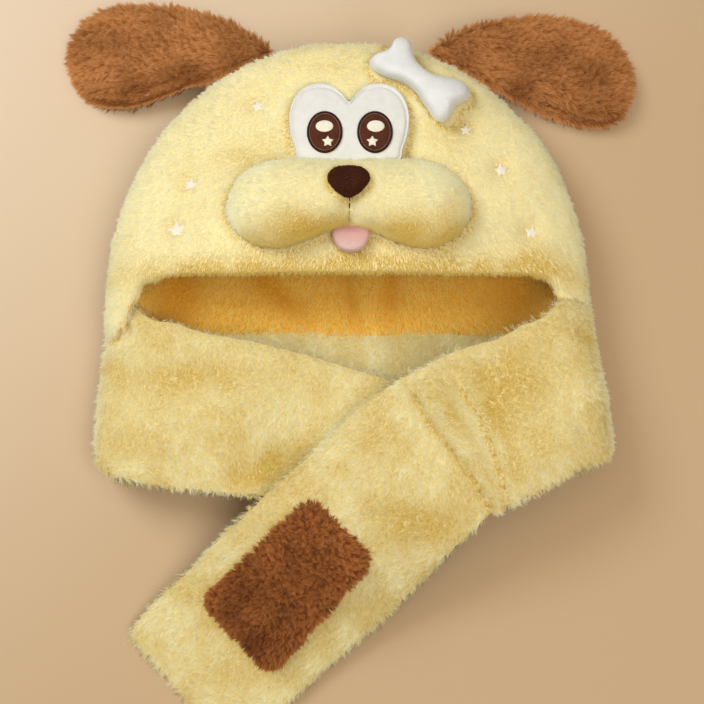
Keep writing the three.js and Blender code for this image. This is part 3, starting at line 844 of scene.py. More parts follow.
def soft_line(points, line, width, height):
    """A rounded ridge (or valley, with a minus height) along a line, faded at its ends."""
    signed, along = line_distance(points, line)
    fade = smoothstep(0, 0.2, along) * smoothstep(0, 0.2, 1 - along)
    return height * MM * bell(signed, width * MM) * (0.25 + 0.75 * fade)


def step_line(points, line, height):
    """A fold's edge: the cloth on the left lies over the cloth on the right."""
    signed, along = line_distance(points, line)
    fade = smoothstep(0, 0.12, along) * (1 - 0.6 * smoothstep(0.85, 1, along))
    left = np.exp(-np.maximum(signed, 0) / (14 * MM)) * smoothstep(0, 3 * MM, signed)
    right = -np.exp(-np.maximum(-signed, 0) / (4 * MM)) * (signed <= 0)
    near_end = np.exp(-np.maximum(np.abs(signed) - 40 * MM, 0) / (5 * MM))
    return height * MM * (left + right) * fade * near_end


# Heights and places that several shapes share
BACK_TOP = 0.022  # the top of the layers that lie on the floor
MIDDLE = 0.03  # between the hood's back and its front
BRIM_Y = -0.046  # where the brim starts to turn down
SEAM_Y = -0.068  # where hood and scarf are sewn together


def nowhere(points):
    return np.zeros(len(points))


def bumps(points, table):
    """The sum of some soft round bumps: the centre, the reach along each axis (mm), and the height."""
    total = np.zeros(len(points))
    for x, y, reach_x, reach_y, height in table:
        away = ((points[:, 0] / MM - x) / reach_x) ** 2 + ((points[:, 1] / MM - y) / reach_y) ** 2
        total += height * np.exp(-away)
    return total


# How uneven each cloth is: the height in mm, the size and the seed of each layer of noise
LUMPS = {
    "hood": [(1.3, 0.045, 3), (0.7, 0.02, 4)],
    "scarf": [(1.6, 0.04, 8), (0.8, 0.018, 9)],
    "ear": [(1.6, 0.035, 14)],
    "muzzle": [(0.9, 0.03, 17)],
    "tail_patch": [(1.5, 0.02, 21)],
}


def lumps(points, cloth):
    return sum(height * MM * noise(points, size, seed) for height, size, seed in LUMPS[cloth])


# Each star's radius in mm and its turn in degrees
STARS = {"star_crown": (4.9, 10), "star_left_upper": (5.0, -12), "star_left_lower": (7.0, 8),
         "star_right_crown": (4.4, 0), "star_right_upper": (5.4, 14), "star_right_lower": (5.6, -8)}
STAR_SHADE = np.array([-1.5, 2.5]) * MM  # each star sits on the lower slope of its dimple
STAR_DEPTH = 4.4 * MM


def middle_of(node):
    low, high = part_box(node)
    return np.array((low + high) / 2)[:2]


def star_distances(points):
    """How far each point is from each star's dimple, on the plan."""
    return [np.linalg.norm(points[:, :2] - middle_of(name) - STAR_SHADE, axis=1) for name in STARS]


def star_dimples(points):
    share = np.zeros(len(points))
    for away in star_distances(points):
        share += bell(away, 5.5 * MM)
    return np.clip(share, 0, 1) * (points[:, 2] > MIDDLE)


# Zones of painted shade, deeper colour in hollows, folds and beside other parts: centre and reach in mm, and
# how deep
HOOD_SHADE_ZONES = [(0, -50, 118, 9, 0.5), (60, 40, 16, 12, 0.35), (44, 14, 20, 8, 0.3), (-52, 30, 22, 14, 0.25),
              (112, -40, 18, 16, 0.4), (0, -48, 112, 10, 1.1), (-60, 22, 26, 8, 0.3), (0, 84, 40, 10, 0.2)]
MUZZLE_SHADE_ZONES = [(-22, -24, 26, 10, 0.8), (40, -28, 24, 11, 0.8), (-50, -30, 16, 7, 0.5),
                (62, -20, 9, 12, 0.5)]
EAR_SHADE_ZONES = [(-100, 84, 20, 7, 0.9), (-150, 106, 14, 9, 0.6), (127, 98, 17, 9, 0.95), (108, 77, 8, 8, 0.95),
             (155, 84, 12, 9, 0.6), (-70, 95, 12, 8, 0.5), (70, 88, 12, 8, 0.6), (-130, 76, 20, 6, 0.6)]
PATCH_SHADE_ZONES = [(-55, -240, 9, 9, 0.95), (-70, -252, 7, 7, 0.7), (-56, -272, 9, 11, 1.0),
               (-36, -226, 7, 10, 0.25), (-12, -252, 6, 10, 0.4), (-42, -254, 8, 10, 0.4)]


def shade_zones(table):
    """How deep the pile's painted shade is in each zone of a table, broken up by a soft mottle."""
    return lambda points: np.clip(bumps(points, table) * (1 + 0.6 * noise(points, 0.009, 93)), 0, 0.92)


# Each pleat's line on the plan and its height, in mm
PLEATS = [([(36, -114), (39, -122), (49, -140), (65, -161), (78, -178), (84, -189), (86, -200)], 5.5),
          ([(65, -112), (70, -122), (79, -136), (86, -153), (92, -170), (95, -188)], 4.2)]


def pleat_share(points):
    share = np.zeros(len(points))
    for line, _ in PLEATS:
        signed, along = line_distance(points, line)
        fade = smoothstep(0.02, 0.15, along)
        share = np.maximum(share, bell(signed + 0.8 * MM, 1.7 * MM) * fade)
    return share * (points[:, 2] > 0.02)


def pleat_parting(points):
    """Away from the nearest crease on both of its sides."""
    push = np.zeros_like(points)
    step = 0.5 * MM
    for line, _ in PLEATS:
        signed = line_distance(points, line)[0]
        slopes = [line_distance(points + step * np.eye(3)[axis], line)[0] - signed for axis in range(2)]
        away = np.sign(signed) * bell(signed, 4 * MM)
        push[:, :2] += away[:, None] * unit(np.stack(slopes, axis=1))
    return push * (points[:, 2] > 0.02)[:, None]


# Valleys and ridges of the scarf: a line, its width and height in mm, and how much golden painted shade it
# gets
SCARF_LINES = [
    ([(-138, -150), (-95, -142), (-30, -118)], 15, 3.2, 0),
    ([(-80, -178), (-52, -168), (-28, -150)], 11, -3.4, 0.55),
    ([(-128, -112), (-95, -108), (-60, -104)], 12, -2.0, 0.35),
    ([(72, -112), (100, -104), (132, -106)], 14, -3.0, 0.5),
    ([(98, -178), (118, -160), (140, -140)], 12, 3.0, 0),
    ([(-139, -92), (-144, -130), (-147, -165)], 6, -1.4, 0.45),
    ([(127, -81), (138, -85), (150, -89)], 4, -3.0, 0.6),
    ([(20, -196), (44, -196), (66, -206)], 12, -1.6, 0.4),
    ([(50, -122), (64, -143), (80, -166), (89, -188)], 5, -0.8, 0.5),
    ([(80, -120), (90, -138), (98, -158), (103, -178)], 7, -1.0, 0.45),
    ([(-4, -138), (10, -154), (20, -178)], 8, -1.2, 0.25),
]

# Hollows of the scarf: centre, reach along each axis, and depth, in mm, and how much golden painted shade
# they get
SCARF_HOLLOWS = [(92, -122, 30, 17, 2.0, 0.7), (-40, -168, 26, 18, 3.0, 0.6),
                 (40, -208, 22, 16, 1.2, 0.25), (-118, -118, 20, 30, 1.2, 0.4),
                 (-60, -112, 45, 12, 1.0, 0.4), (20, -146, 14, 12, 1.0, 0.25),
                 (-90, -285, 26, 22, 1.0, 0.2), (125, -152, 20, 16, 0.8, 0.35)]


def hollow_share(points, column):
    return bumps(points, [(*row[:4], row[4 + column]) for row in SCARF_HOLLOWS])


def scarf_lines(points):
    """The lift of the scarf's valleys and ridges in metres, and how much golden painted shade their pile
    gets.
    """
    lift = np.zeros(len(points))
    painted_shade = np.zeros(len(points))
    for line, width, height, share in SCARF_LINES:
        rise = soft_line(points, line, width, height)
        lift += rise
        if share:
            painted_shade += share * rise / (height * MM)
    return lift, painted_shade


def scarf_painted_shade(points):
    painted_shade = 0.7 * hollow_share(points, 1) + scarf_lines(points)[1]
    return np.clip(painted_shade * (1 + 0.5 * noise(points, 0.012, 91)), 0, 0.9)


HOOD_AXIS_Z = 28 * MM

# Gathers of the lining: x in mm, how far it moves down the opening, half width and depth of shade
GATHERS = [(-107, 0, 15, 0.6), (-38, 0.9, 11, 0.6), (2, 0.2, 5, 0.45), (27, 0, 6, 0.5), (100, 0, 22, 0.55)]


def gathers(points):
    total = np.zeros(len(points))
    for x, slant, width, shade in GATHERS:
        centre = x * MM - slant * (points[:, 1] + 0.06)
        total = np.maximum(total, shade * bell(points[:, 0] - centre, width * MM))
    return total


def lining_shade(points):
    high = smoothstep(-0.082, -0.052, points[:, 1])
    soft = 1 + 0.3 * noise(points, 0.012, 95)
    shade = (0.2 * high + gathers(points) * (0.3 + 0.9 * high)) * soft
    return np.clip(shade, 0, 1) * smoothstep(0.132, 0.122, np.abs(points[:, 0]))


def outward(points, normals):
    """1 on the hood's outer side, 0 on its inner side."""
    from_axis = points - np.array([0, 0, HOOD_AXIS_Z])
    from_axis[:, 1] = np.maximum(points[:, 1] + 0.02, 0)
    front = (points[:, 2] > 0.045) & (normals[:, 2] > 0.3)
    return ((dots(unit(from_axis), normals)[:, 0] > 0) | front).astype(float)


OPENING_ENDS = np.array([4, 8]) * MM  # added to a distance to the left and right of the middle
SWELL_PLACE = np.array([-0.138, -0.076])
SWELL_HEIGHT = 4 * MM


def opening_reach(points):
    """How far each point is from the middle; the opening's right end is 4 mm nearer than its left end."""
    return np.abs(points[:, 0]) + OPENING_ENDS[(points[:, 0] > 0).astype(int)]


def corner_swell(points):
    """1 at the join of hood and scarf beside the left end of the opening."""
    away = (points[:, :2] - SWELL_PLACE) / (10 * MM)
    return np.exp(-np.sum(away**2, axis=1)) * smoothstep(0.015, 0.025, points[:, 2])


def swollen(points, normals):
    return points + SWELL_HEIGHT * (normals * corner_swell(points)[:, None])


BRIM_END = 0.129  # where the brim turns down to the side, from the middle
BRIM_RAISE = 11 * MM  # at its ends
LINING_RAISE = 10 * MM  # at both ends of the opening
HOOD_SEWN = (5, 8)  # mm down to the scarf, all along and added at the ends
SCARF_SEWN = (6, 6)  # mm up to the hood, all along and added at the ends
BACK_SEAM_DEPTH = 2.2 * MM
GATHER_DEPTH = 3 * MM


def sculpt_hood(points, normals):
    front = smoothstep(0.2, 0.6, normals[:, 2]) * (points[:, 2] > 0.04)
    depth = sum(STAR_DEPTH * bell(away, 7.5 * MM) for away in star_distances(points))
    points = points + normals * lumps(points, "hood")[:, None]
    points[:, 2] -= depth * front
    # The brim keeps its line further out before it turns down to the side
    reach = opening_reach(points)
    corner = bell(reach - BRIM_END, 0.013) * smoothstep(BACK_TOP, BACK_TOP + 0.012, points[:, 2])
    points[:, 1] += BRIM_RAISE * corner * smoothstep(BRIM_Y, SEAM_Y, points[:, 1])
    # The lining turns up at both ends of the opening
    wall = (1 - outward(points, normals)) * smoothstep(0.112, 0.13, np.abs(points[:, 0]))
    wall = LINING_RAISE * wall * smoothstep(-0.03, -0.06, points[:, 1])
    points[:, 2] += wall * smoothstep(0.04, 0.02, points[:, 2])
    # Sewn to the scarf along its lower edge
    sewn = smoothstep(SEAM_Y, SEAM_Y - 0.006, points[:, 1]) * smoothstep(0.1, 0.7, -normals[:, 1])
    ends = smoothstep(BRIM_END, BRIM_END + 0.01, reach)
    points[:, 1] -= (HOOD_SEWN[0] + HOOD_SEWN[1] * ends) * MM * sewn
    # Both pieces swell where they meet beside the left end of the opening
    points = swollen(points, normals)
    # The seam down the middle of the back panel, inside
    inside = (points[:, 2] < MIDDLE) & (normals[:, 2] > 0.5)
    points[:, 2] -= BACK_SEAM_DEPTH * bell(points[:, 0] + 0.002, 3 * MM) * inside
    points[:, 2] -= GATHER_DEPTH * gathers(points) * inside
    return points


def sculpt_scarf(points, normals):
    front = smoothstep(0.1, 0.5, normals[:, 2]) * (points[:, 2] > BACK_TOP)
    lift = scarf_lines(points)[0]
    for line, height in PLEATS:
        lift += step_line(points, line, height)
    lift += lumps(points, "scarf")
    lift -= hollow_share(points, 0) * MM
    points = points + normals * (lift * front)[:, None]
    side = (1 - front) * 0.7 * MM * noise(points, 0.03, 10)
    points = points + normals * side[:, None]
    # Sewn to the hood along its upper edge: the back band all along, the front bands at their ends
    at_ends = smoothstep(0.088, 0.112, np.abs(points[:, 0]))
    under_hood = np.maximum(smoothstep(BACK_TOP, BACK_TOP - 0.006, points[:, 2]), at_ends)
    sewn = smoothstep(-0.1, -0.086, points[:, 1]) * smoothstep(0.0, 0.6, normals[:, 1]) * under_hood
    reach = opening_reach(points)
    ends = (smoothstep(0.118, 0.138, reach) + smoothstep(0.13, 0.14, reach)) * (points[:, 2] > 0.02)
    points[:, 1] += (SCARF_SEWN[0] + SCARF_SEWN[1] * ends) * MM * sewn
    return swollen(points, normals)


# The seam between an ear's two panels, where it shows above the lower rim
EAR_SEAMS = [[(-165, 73), (-150, 69), (-132, 69), (-112, 75), (-92, 85)],
             [(113, 75), (124, 69), (140, 63), (156, 58), (172, 59)]]
EAR_SEAM_DEPTH = 3.2 * MM
LEFT_EAR_RAISE = 3.2 * MM

# Soft valleys of the ears and the muzzle: a line, its width and its height in mm
EAR_VALLEYS = [([(90, 96), (104, 92), (118, 97), (132, 104)], 9, -4.0),
               ([(106, 66), (105, 80), (116, 94)], 6, -4.0),
               ([(-96, 92), (-120, 90), (-145, 96)], 10, -1.5)]
MUZZLE_VALLEY = ([(0.8, -6), (0.8, -16), (0.8, -30)], 4, -2.5)


def ear_seams(points):
    share = np.zeros(len(points))
    for line in EAR_SEAMS:
        signed, along = line_distance(points, line)
        fade = smoothstep(0, 0.15, along) * smoothstep(0, 0.1, 1 - along)
        share = np.maximum(share, bell(signed, 2.2 * MM) * fade)
    return share * (points[:, 2] > 0.008)


def sculpt_ear(points, normals):
    front = smoothstep(0.1, 0.6, normals[:, 2])
    lift = lumps(points, "ear")
    for valley in EAR_VALLEYS:
        lift += soft_line(points, *valley)
    lift -= EAR_SEAM_DEPTH * ear_seams(points)
    points = points + normals * (lift * front)[:, None]
    points[:, 1] += LEFT_EAR_RAISE * smoothstep(-0.06, -0.1, points[:, 0])
    return points


def sculpt_muzzle(points, normals):
    front = smoothstep(0.0, 0.5, normals[:, 2])
    lift = lumps(points, "muzzle") + soft_line(points, *MUZZLE_VALLEY)
    return points + normals * (lift * front)[:, None]


TAIL_MIDDLE = np.array([-0.037, -0.237])
TAIL_ALONG = np.array([-0.72, -0.69, 0.0])
TAIL_ACROSS = np.array([0.69, -0.72])
PATCH_SPREAD = 3 * MM  # the patch is this much wider to its lower right


def sculpt_tail_patch(points, normals):
    front = smoothstep(0.1, 0.5, normals[:, 2])
    points = points + normals * (lumps(points, "tail_patch") * front)[:, None]
    across = (points[:, :2] - TAIL_MIDDLE) @ TAIL_ACROSS
    points[:, :2] += PATCH_SPREAD * smoothstep(0, 0.025, across)[:, None] * TAIL_ACROSS
    return points


# Plush pieces

def hood_front_weight(points, normals):
    front = outward(points, normals) * (0.3 + 0.7 * smoothstep(-0.75, 0.0, normals[:, 2]))
    front *= points[:, 2] > 0.002
    rim = smoothstep(-0.045, -0.052, points[:, 1]) * smoothstep(-0.6, 0.2, normals[:, 2])
    return np.maximum(front, 0.8 * rim * (points[:, 2] > MIDDLE)) + corner_swell(points)


def hood_rest_weight(points, normals):
    inner = (1 - outward(points, normals)) * (1 - np.minimum(2 * corner_swell(points), 1))
    return inner * (0.15 + 1.6 * smoothstep(0.0, -0.05, points[:, 1]))


def scarf_front_weight(points, normals):
    return smoothstep(-0.5, 0.1, normals[:, 2]) * (1 - back_band(points, normals))


def back_band(points, normals):
    """The strip of the scarf that shows through the opening."""
    seen = (points[:, 2] < BACK_TOP) & (points[:, 1] > -0.125) & (np.abs(points[:, 0]) < 0.13)
    return seen * smoothstep(0.2, 0.5, normals[:, 2])


def scarf_rest_weight(points, normals):
    return smoothstep(0.1, -0.5, normals[:, 2]) * (points[:, 2] > 0.002)


def top_weight(points, normals):
    return smoothstep(-0.9, -0.1, normals[:, 2])


def hood_flow(points, normals):
    down = np.tile([0.0, -1.0, 0.0], (len(points), 1))
    out = points - np.array([0, 0, HOOD_AXIS_Z])
    return down + 0.6 * unit(out)


def scarf_flow(points, normals):
    """Along each band: to the lower edge on the front bands, down the tail on the tail."""
    down = np.tile([0.0, -1.0, -0.1], (len(points), 1))
    across = points[:, 0] - points[:, 1]  # grows across the tail from its left edge
    tail = smoothstep(0.11, 0.13, across) * smoothstep(0.06, 0.02, points[:, 0])
    tail = np.maximum(tail, smoothstep(-0.195, -0.205, points[:, 1]))
    return down * (1 - tail)[:, None] + TAIL_ALONG * tail[:, None] + 2.5 * pleat_parting(points)


def ear_flow(points, normals):
    return np.column_stack([np.sign(points[:, 0]), np.full(len(points), -0.25), np.zeros(len(points))])


def muzzle_flow(points, normals):
    middle = np.array([0.8, -4.0]) * MM
    away = (points[:, :2] - middle) / np.array([0.07, 0.03])
    return np.column_stack([away, np.zeros(len(points))]) + np.array([0, -0.25, 0])


def patch_flow(points, normals):
    away = np.column_stack([(points[:, :2] - TAIL_MIDDLE) / 0.03, np.zeros(len(points))])
    return away + 0.5 * TAIL_ALONG


# How each pile looks: sizes in mm, angles in degrees, and shares
SHORT = {"length": 4.4, "width": 0.36, "lean": 68, "bend": 8, "tuft": 2.6, "tuft_turn": 0.12,
         "swirl": 0.5, "stray": 0.14, "clump": 0.1, "soft": 0.96, "shade_by_openness": (0.2, 0.75), "mottle": 0.22,
         "glow": 0.6, "trim": 0.4, "rim": 0, "under": 0, "hollow_shade": nowhere, "dimples": nowhere,
         "dimple_shade": 0, "cover_above": 0}
DEEP = {**SHORT, "length": 6.6, "width": 0.42, "lean": 62, "tuft": 2.1, "tuft_turn": 0.5, "swirl": 1.1,
        "stray": 0.22, "clump": 0.5, "soft": 0.74, "mottle": 0.79, "rim": 0.7, "trim": 0.55}
HOOD = {**SHORT, "cover_above": 0.035, "under": 0.6, "dimples": star_dimples, "dimple_shade": 0.5,
        "hollow_shade": shade_zones(HOOD_SHADE_ZONES)}
LINING = {**SHORT, "length": 4.2, "shade_by_openness": (0.05, 0.6), "swirl": 0.7, "hollow_shade": lining_shade}
SCARF = {**DEEP, "hollow_shade": scarf_painted_shade, "dimples": pleat_share, "dimple_shade": 0.9}
NECK_STRIP = {**DEEP, "shade_by_openness": (-0.2, 0.1), "mottle": 0.66}
MUZZLE = {**SHORT, "length": 3.4, "width": 0.38, "under": 0.85, "hollow_shade": shade_zones(MUZZLE_SHADE_ZONES)}
EAR = {**SHORT, "length": 7.5, "tuft": 1.8, "tuft_turn": 0.4, "swirl": 0.9, "lean": 57, "clump": 0.42,
       "soft": 0.7, "mottle": 0.65, "glow": 0.8, "rim": 0.8, "under": 0.7, "shade_by_openness": (0.05, 0.6),
       "dimples": ear_seams, "dimple_shade": 0.9, "trim": 0.25, "hollow_shade": shade_zones(EAR_SHADE_ZONES)}
PATCH = {**EAR, "length": 6.0, "tuft": 1.9, "tuft_turn": 0.8, "swirl": 1.1, "lean": 62, "clump": 0.4,
         "soft": 0.6, "mottle": 0.75, "under": 0, "rim": 0.7, "shade_by_openness": (0.1, 0.7), "dimples": nowhere,
         "dimple_shade": 0, "trim": 0.5, "hollow_shade": shade_zones(PATCH_SHADE_ZONES)}
NOSE = {**SHORT, "length": 1.8, "width": 0.34, "lean": 35, "bend": 20, "tuft": 1.6, "tuft_turn": 0.5,
        "swirl": 0.4, "stray": 0.4, "clump": 0.4, "soft": 0.6, "shade_by_openness": (0, 0.9), "mottle": 0.6, "glow": 0}

SHARE = 1.0  # of the strands

# Each plush node: voxel and pile in mm, its sculpting, backing and material slot
PLUSH = {
    "hood": (3.6, 2.6, sculpt_hood, "hood_backing", "plush_yellow"),
    "scarf": (2.8, 3.2, sculpt_scarf, "scarf_backing_shaded", "plush_yellow"),
    "muzzle": (2.4, 1.6, sculpt_muzzle, "hood_backing", "plush_yellow"),
    "left_ear": (3.0, 3.5, sculpt_ear, "brown_backing", "plush_brown"),
    "right_ear": (3.0, 3.5, sculpt_ear, "brown_backing", "plush_brown"),
    "tail_patch": (2.0, 1.6, sculpt_tail_patch, "brown_backing", "plush_brown"),
}

# Each fur's node, strands, look, flow, where it grows, paint and seed
YELLOW_FURS = {
    "hood_fur": ("hood", 98000, HOOD, hood_flow, hood_front_weight, "yellow", 11),
    "hood_inner_fur": ("hood", 36000, LINING, hood_flow, hood_rest_weight, "inside", 12),
    "scarf_fur": ("scarf", 96000, SCARF, scarf_flow, scarf_front_weight, "yellow", 21),
    "scarf_inner_fur": ("scarf", 14000, NECK_STRIP, scarf_flow, back_band, "yellow", 23),
    "scarf_under_fur": ("scarf", 32000, DEEP, scarf_flow, scarf_rest_weight, "yellow", 22),
    "muzzle_fur": ("muzzle", 38000, MUZZLE, muzzle_flow, top_weight, "yellow", 31),
}
BROWN_FURS = {
    "left_ear_fur": ("left_ear", 34000, EAR, ear_flow, top_weight, "brown", 41),
    "right_ear_fur": ("right_ear", 34000, EAR, ear_flow, top_weight, "brown", 42),
    "tail_patch_fur": ("tail_patch", 32000, PATCH, patch_flow, top_weight, "patch", 51),
}
# The pieces that lie on some of them
COVERS = {"hood_fur": ["eye_patch", "muzzle", "bone_clip"], "scarf_fur": ["tail_patch"],
          "muzzle_fur": ["nose"]}
GROUND_REACH = 1.0


def paint_lining(mesh):
    """Gives the hood's inner side its own backing, painted golden: painted shade and warm bounce light."""
    mesh.materials.append(paints["inside_shaded_backing"])
    inner = 1 - outward(read(mesh.polygons, "center"), read(mesh.polygons, "normal"))
    mesh.polygons.foreach_set("material_index", inner.astype(int))


def add_skins():
    """Each plush node's skin as (mesh, openness of its vertices)."""
    meshes = {}
    for node, (voxel, pile, sculpt, backing, slot) in PLUSH.items():
        mesh = fur_skin(node, voxel * MM, pile * MM, sculpt)
        piece = link(node + "_skin", mesh, paints[backing])
        if node == "hood":
            paint_lining(mesh)
        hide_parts(node)
        meshes[node] = mesh
    solids = [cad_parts[node].data for node in ("eye_patch", "bone_clip", "nose", "tongue")]
    ground = square("ground", GROUND_REACH)
    tree = tree_of([*meshes.values(), *solids, ground])
    bpy.data.meshes.remove(ground)
    return {node: (mesh, openness(mesh, tree)) for node, mesh in meshes.items()}


def add_furs(furs, skins):
    for name, (node, count, look, flow, weight, paint, seed) in furs.items():
        cover = Cover(COVERS[name]) if name in COVERS else None
        fur = grow_fur(name, skins[node], count, look, flow, weight, paints[paint], cover, seed)


def add_plush():
    skins = add_skins()
    add_furs(YELLOW_FURS, skins)
    add_pleat_stitches(skins["scarf"][0])
    add_furs(BROWN_FURS, skins)


# Stitches

# Along a stitch: the way along, the share of its radius, and its lift in radii
STITCH_PROFILE = [(0.0, 0.25, -0.6), (0.12, 0.8, 0.0), (0.5, 1.0, 0.25), (0.88, 0.8, 0.0), (1.0, 0.25, -0.6)]
STITCH_SIDES = 6


def stitch(start, end, radius):
    """Points and faces of one short stitch: a rounded bar that sinks in at both ends."""
    along = unit(end - start)
    side = unit(np.cross(along, UP))
    rise = np.cross(side, along)
    points = []
    for t, swell, lift in STITCH_PROFILE:
        centre = start + (end - start) * t + rise * lift * radius
        for index in range(STITCH_SIDES):
            angle = 2 * math.pi * index / STITCH_SIDES
            points.append(centre + radius * swell * (math.cos(angle) * side + math.sin(angle) * rise))
    ring = list(range(STITCH_SIDES))
    faces = tube_faces(len(STITCH_PROFILE), STITCH_SIDES)
    faces.append(ring[::-1])
    faces.append([len(points) - STITCH_SIDES + index for index in ring])
    return points, faces


def add_stitches(name, spans, radius, material):
    """One piece of short stitches, each from a start to an end, with a radius in mm."""
    points = []
    faces = []
    for start, end in spans:
        new_points, new_faces = stitch(start, end, radius * MM)
        faces += [[corner + len(points) for corner in face] for face in new_faces]
        points += new_points
    mesh = bpy.data.meshes.new(name)
    mesh.from_pydata([tuple(point) for point in points], [], faces)
    mesh.shade_smooth()
    link(name, mesh, paints[material])


def spaced(places, share):
    """A stitch from each place to the next, over a share of the way."""
    return [(start, start + (end - start) * share) for start, end in zip(places[:-1], places[1:])]


def add_pleat_stitches(skin):
    """Small stitches sunk in the scarf's two creases."""
    tree = tree_of([skin])

    def places_of(length):
        return np.arange(0.1 * length, 0.95 * length, 5 * MM)

    for number, (line, _) in enumerate(PLEATS):
        route = walk(np.array(line, float) * MM, places_of)
        heights = np.array([height_over(tree, x, y) for x, y in route]) + 0.2 * MM
        places = np.column_stack([route, heights])
        add_stitches(f"pleat_stitches_{number + 1}", spaced(places, 0.6), 0.3, "crease")


# Face

def place_pad(node):
    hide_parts(node)


EYE_HALF = [(0, 56), (4, 61), (10, 66.6), (17.6, 68.6), (25.4, 67.2), (31.4, 62.6), (35.4, 55.2),
            (37, 46), (35.8, 35), (32.6, 25), (29, 17), (0, 14.5)]
NOSE_HALF = [(0, 9.3), (7, 8.4), (11, 5.2), (12, 1), (9.6, -3.6), (5.6, -7.4), (0, -9.4)]
TONGUE_HALF = [(0, -21.5), (9.5, -22.5), (11.4, -29), (7.5, -36.5), (0, -39)]
EYE_COUNT = 120  # points round the felt
FELT_TOP = 5.3  # above the hood
PUPIL_Y = 35.5
# Where each pupil stands across the face, and how far beside its middle its glint and its star are
PUPILS = {"left": (-14.2, -0.2, 1.9), "right": (16.4, 0.5, -1.6)}
GLINT_UP = 3.6
STAR_DOWN = 6.2
STAR_RADIUS = 3.8
# Half the width and half the height of an eye's ovals
CLOTH_OVAL = (10.5, 13.0)
RIM_OVAL = (10.9, 13.5)
LINE_OVAL = (9.3, 11.8)
GLINT_OVAL = (5.4, 3.8)


def add_eyes():
    under = fitted_top("hood", (-45, 5), (46, 72))
    outline = closed_curve(mirrored(EYE_HALF, 0.7), EYE_COUNT)
    rows = [(1.0, -4.3), (1.0, 1.5), (0.997, 3.0), (0.98, 3.9), (0.955, 4.0), (0.935, 3.4),
            (0.925, 2.9), (0.912, 3.2), (0.895, 4.2), (0.85, 4.9), (0.75, 5.2), (0.5, 5.3), (0.2, 5.3)]
    patch = pad("eye_patch_felt", outline, [(-14, 34), (16, 34)], rows, under, paints["felt"])
    place_pad("eye_patch")
    for side, places in PUPILS.items():
        add_eye(side, *places, under)


def add_eye(side, x, glint_beside, star_beside, under):
    def on_felt(px, py):
        return under(px, py) + FELT_TOP * MM

    def stitched(ring, share):
        around = np.arange(len(ring))
        ring[:, 2] += 0.13 * MM * (around % 4 < 2) * (share < 0.999)
        return ring

    spine = [(x, PUPIL_Y - 2), (x, PUPIL_Y + 2)]
    disc = pad(f"{side}_pupil_cloth", oval((x, PUPIL_Y), *CLOTH_OVAL, 60), spine,
               [(1.0, -0.3), (1.0, 0.5), (0.9, 0.75), (0.5, 0.85), (0.15, 0.85)], on_felt, paints["pupil"])
    place_pad(f"{side}_pupil")
    rim_rows = [(1.0, -0.3), (1.0, 0.7), (0.98, 1.1), (0.93, 1.2), (0.885, 1.0)]
    rim = pad(f"{side}_pupil_rim", oval((x, PUPIL_Y), *RIM_OVAL, 240), spine, rim_rows, on_felt,
              paints["rim"], stitched, 0)
    open_ring(rim.data)
    route = oval((x, PUPIL_Y), *LINE_OVAL, 52)
    places = np.column_stack([route, on_felt(route[:, 0], route[:, 1]) + 0.95 * MM])
    dashes = spaced(np.vstack([places, places[:1]]), 0.85)
    add_stitches(f"{side}_pupil_line", dashes, 0.16, "line")

    glint_x = x + glint_beside
    glint_y = PUPIL_Y + GLINT_UP
    glint = pad(f"{side}_glint_thread", oval((glint_x, glint_y), *GLINT_OVAL, 48),
                [(glint_x - 1.5, glint_y), (glint_x + 1.5, glint_y)],
                [(1.0, 0.6), (1.0, 1.1), (0.93, 1.5), (0.6, 1.75), (0.2, 1.75)], on_felt, paints["thread"])
    place_pad(f"{side}_glint")
    star_x = x + star_beside
    star_y = PUPIL_Y - STAR_DOWN
    spark = pad(f"{side}_pupil_star_thread", star((star_x, star_y), STAR_RADIUS, 0, 0.55),
                [(star_x - 0.1, star_y), (star_x + 0.1, star_y)],
                [(1.0, 0.6), (1.0, 1.1), (0.9, 1.5), (0.5, 1.75), (0.15, 1.75)], on_felt, paints["thread"])
    place_pad(f"{side}_pupil_star")


def open_ring(mesh):
    """Takes out the caps of a pad, so that only its rim is left."""
    build = bmesh.new()
    build.from_mesh(mesh)
    caps = [face for face in build.faces if len(face.verts) == 3]
    bmesh.ops.delete(build, geom=caps, context="FACES_ONLY")
    build.to_mesh(mesh)
    build.free()


def add_nose():
    under = fitted_top("muzzle", (-16, -12), (17, 12), 3)
    outline = closed_curve(mirrored(NOSE_HALF, 0.4), 72)
    rows = [(1.0, -3.0), (1.0, 0.8), (0.97, 2.4), (0.9, 4.0), (0.75, 5.6), (0.5, 6.6), (0.2, 6.9)]
    nose = pad("nose_cloth", outline, [(-4, 0.5), (4.6, 0.5)], rows, under, paints["nose"])
    place_pad("nose")
    depsgraph = bpy.context.evaluated_depsgraph_get()
    mesh = bpy.data.meshes.new_from_object(nose.evaluated_get(depsgraph))

    def outwards(points, normals):
        middle = np.array([0.3, 0.5, 0]) * MM
        return np.column_stack([(points - middle)[:, :2] / 0.01, np.zeros(len(points))])

    skin = (mesh, np.ones(len(mesh.vertices)))
    fur = grow_fur("nose_fur", skin, 7000, NOSE, outwards, top_weight, paints["nose_pile"], seed=61)
    bpy.data.meshes.remove(mesh)


MOUTH_X = 0.9 * MM
PAST_MUZZLE = 0.08  # how high the stitches lie past the muzzle's lower edge


def add_mouth_line(name, rows, radius, material):
    """Stitches down the valley of the muzzle, between rows in mm."""
    tree = node_tree("muzzle")
    spans = []
    for top, bottom in zip(rows[:-1], rows[1:]):
        ends = (top * MM, (bottom * 0.9 + top * 0.1) * MM)
        heights = [height_over(tree, MOUTH_X, y) or PAST_MUZZLE for y in ends]
        spans.append([np.array([MOUTH_X, y, z]) for y, z in zip(ends, heights)])
    add_stitches(name, spans, radius, material)


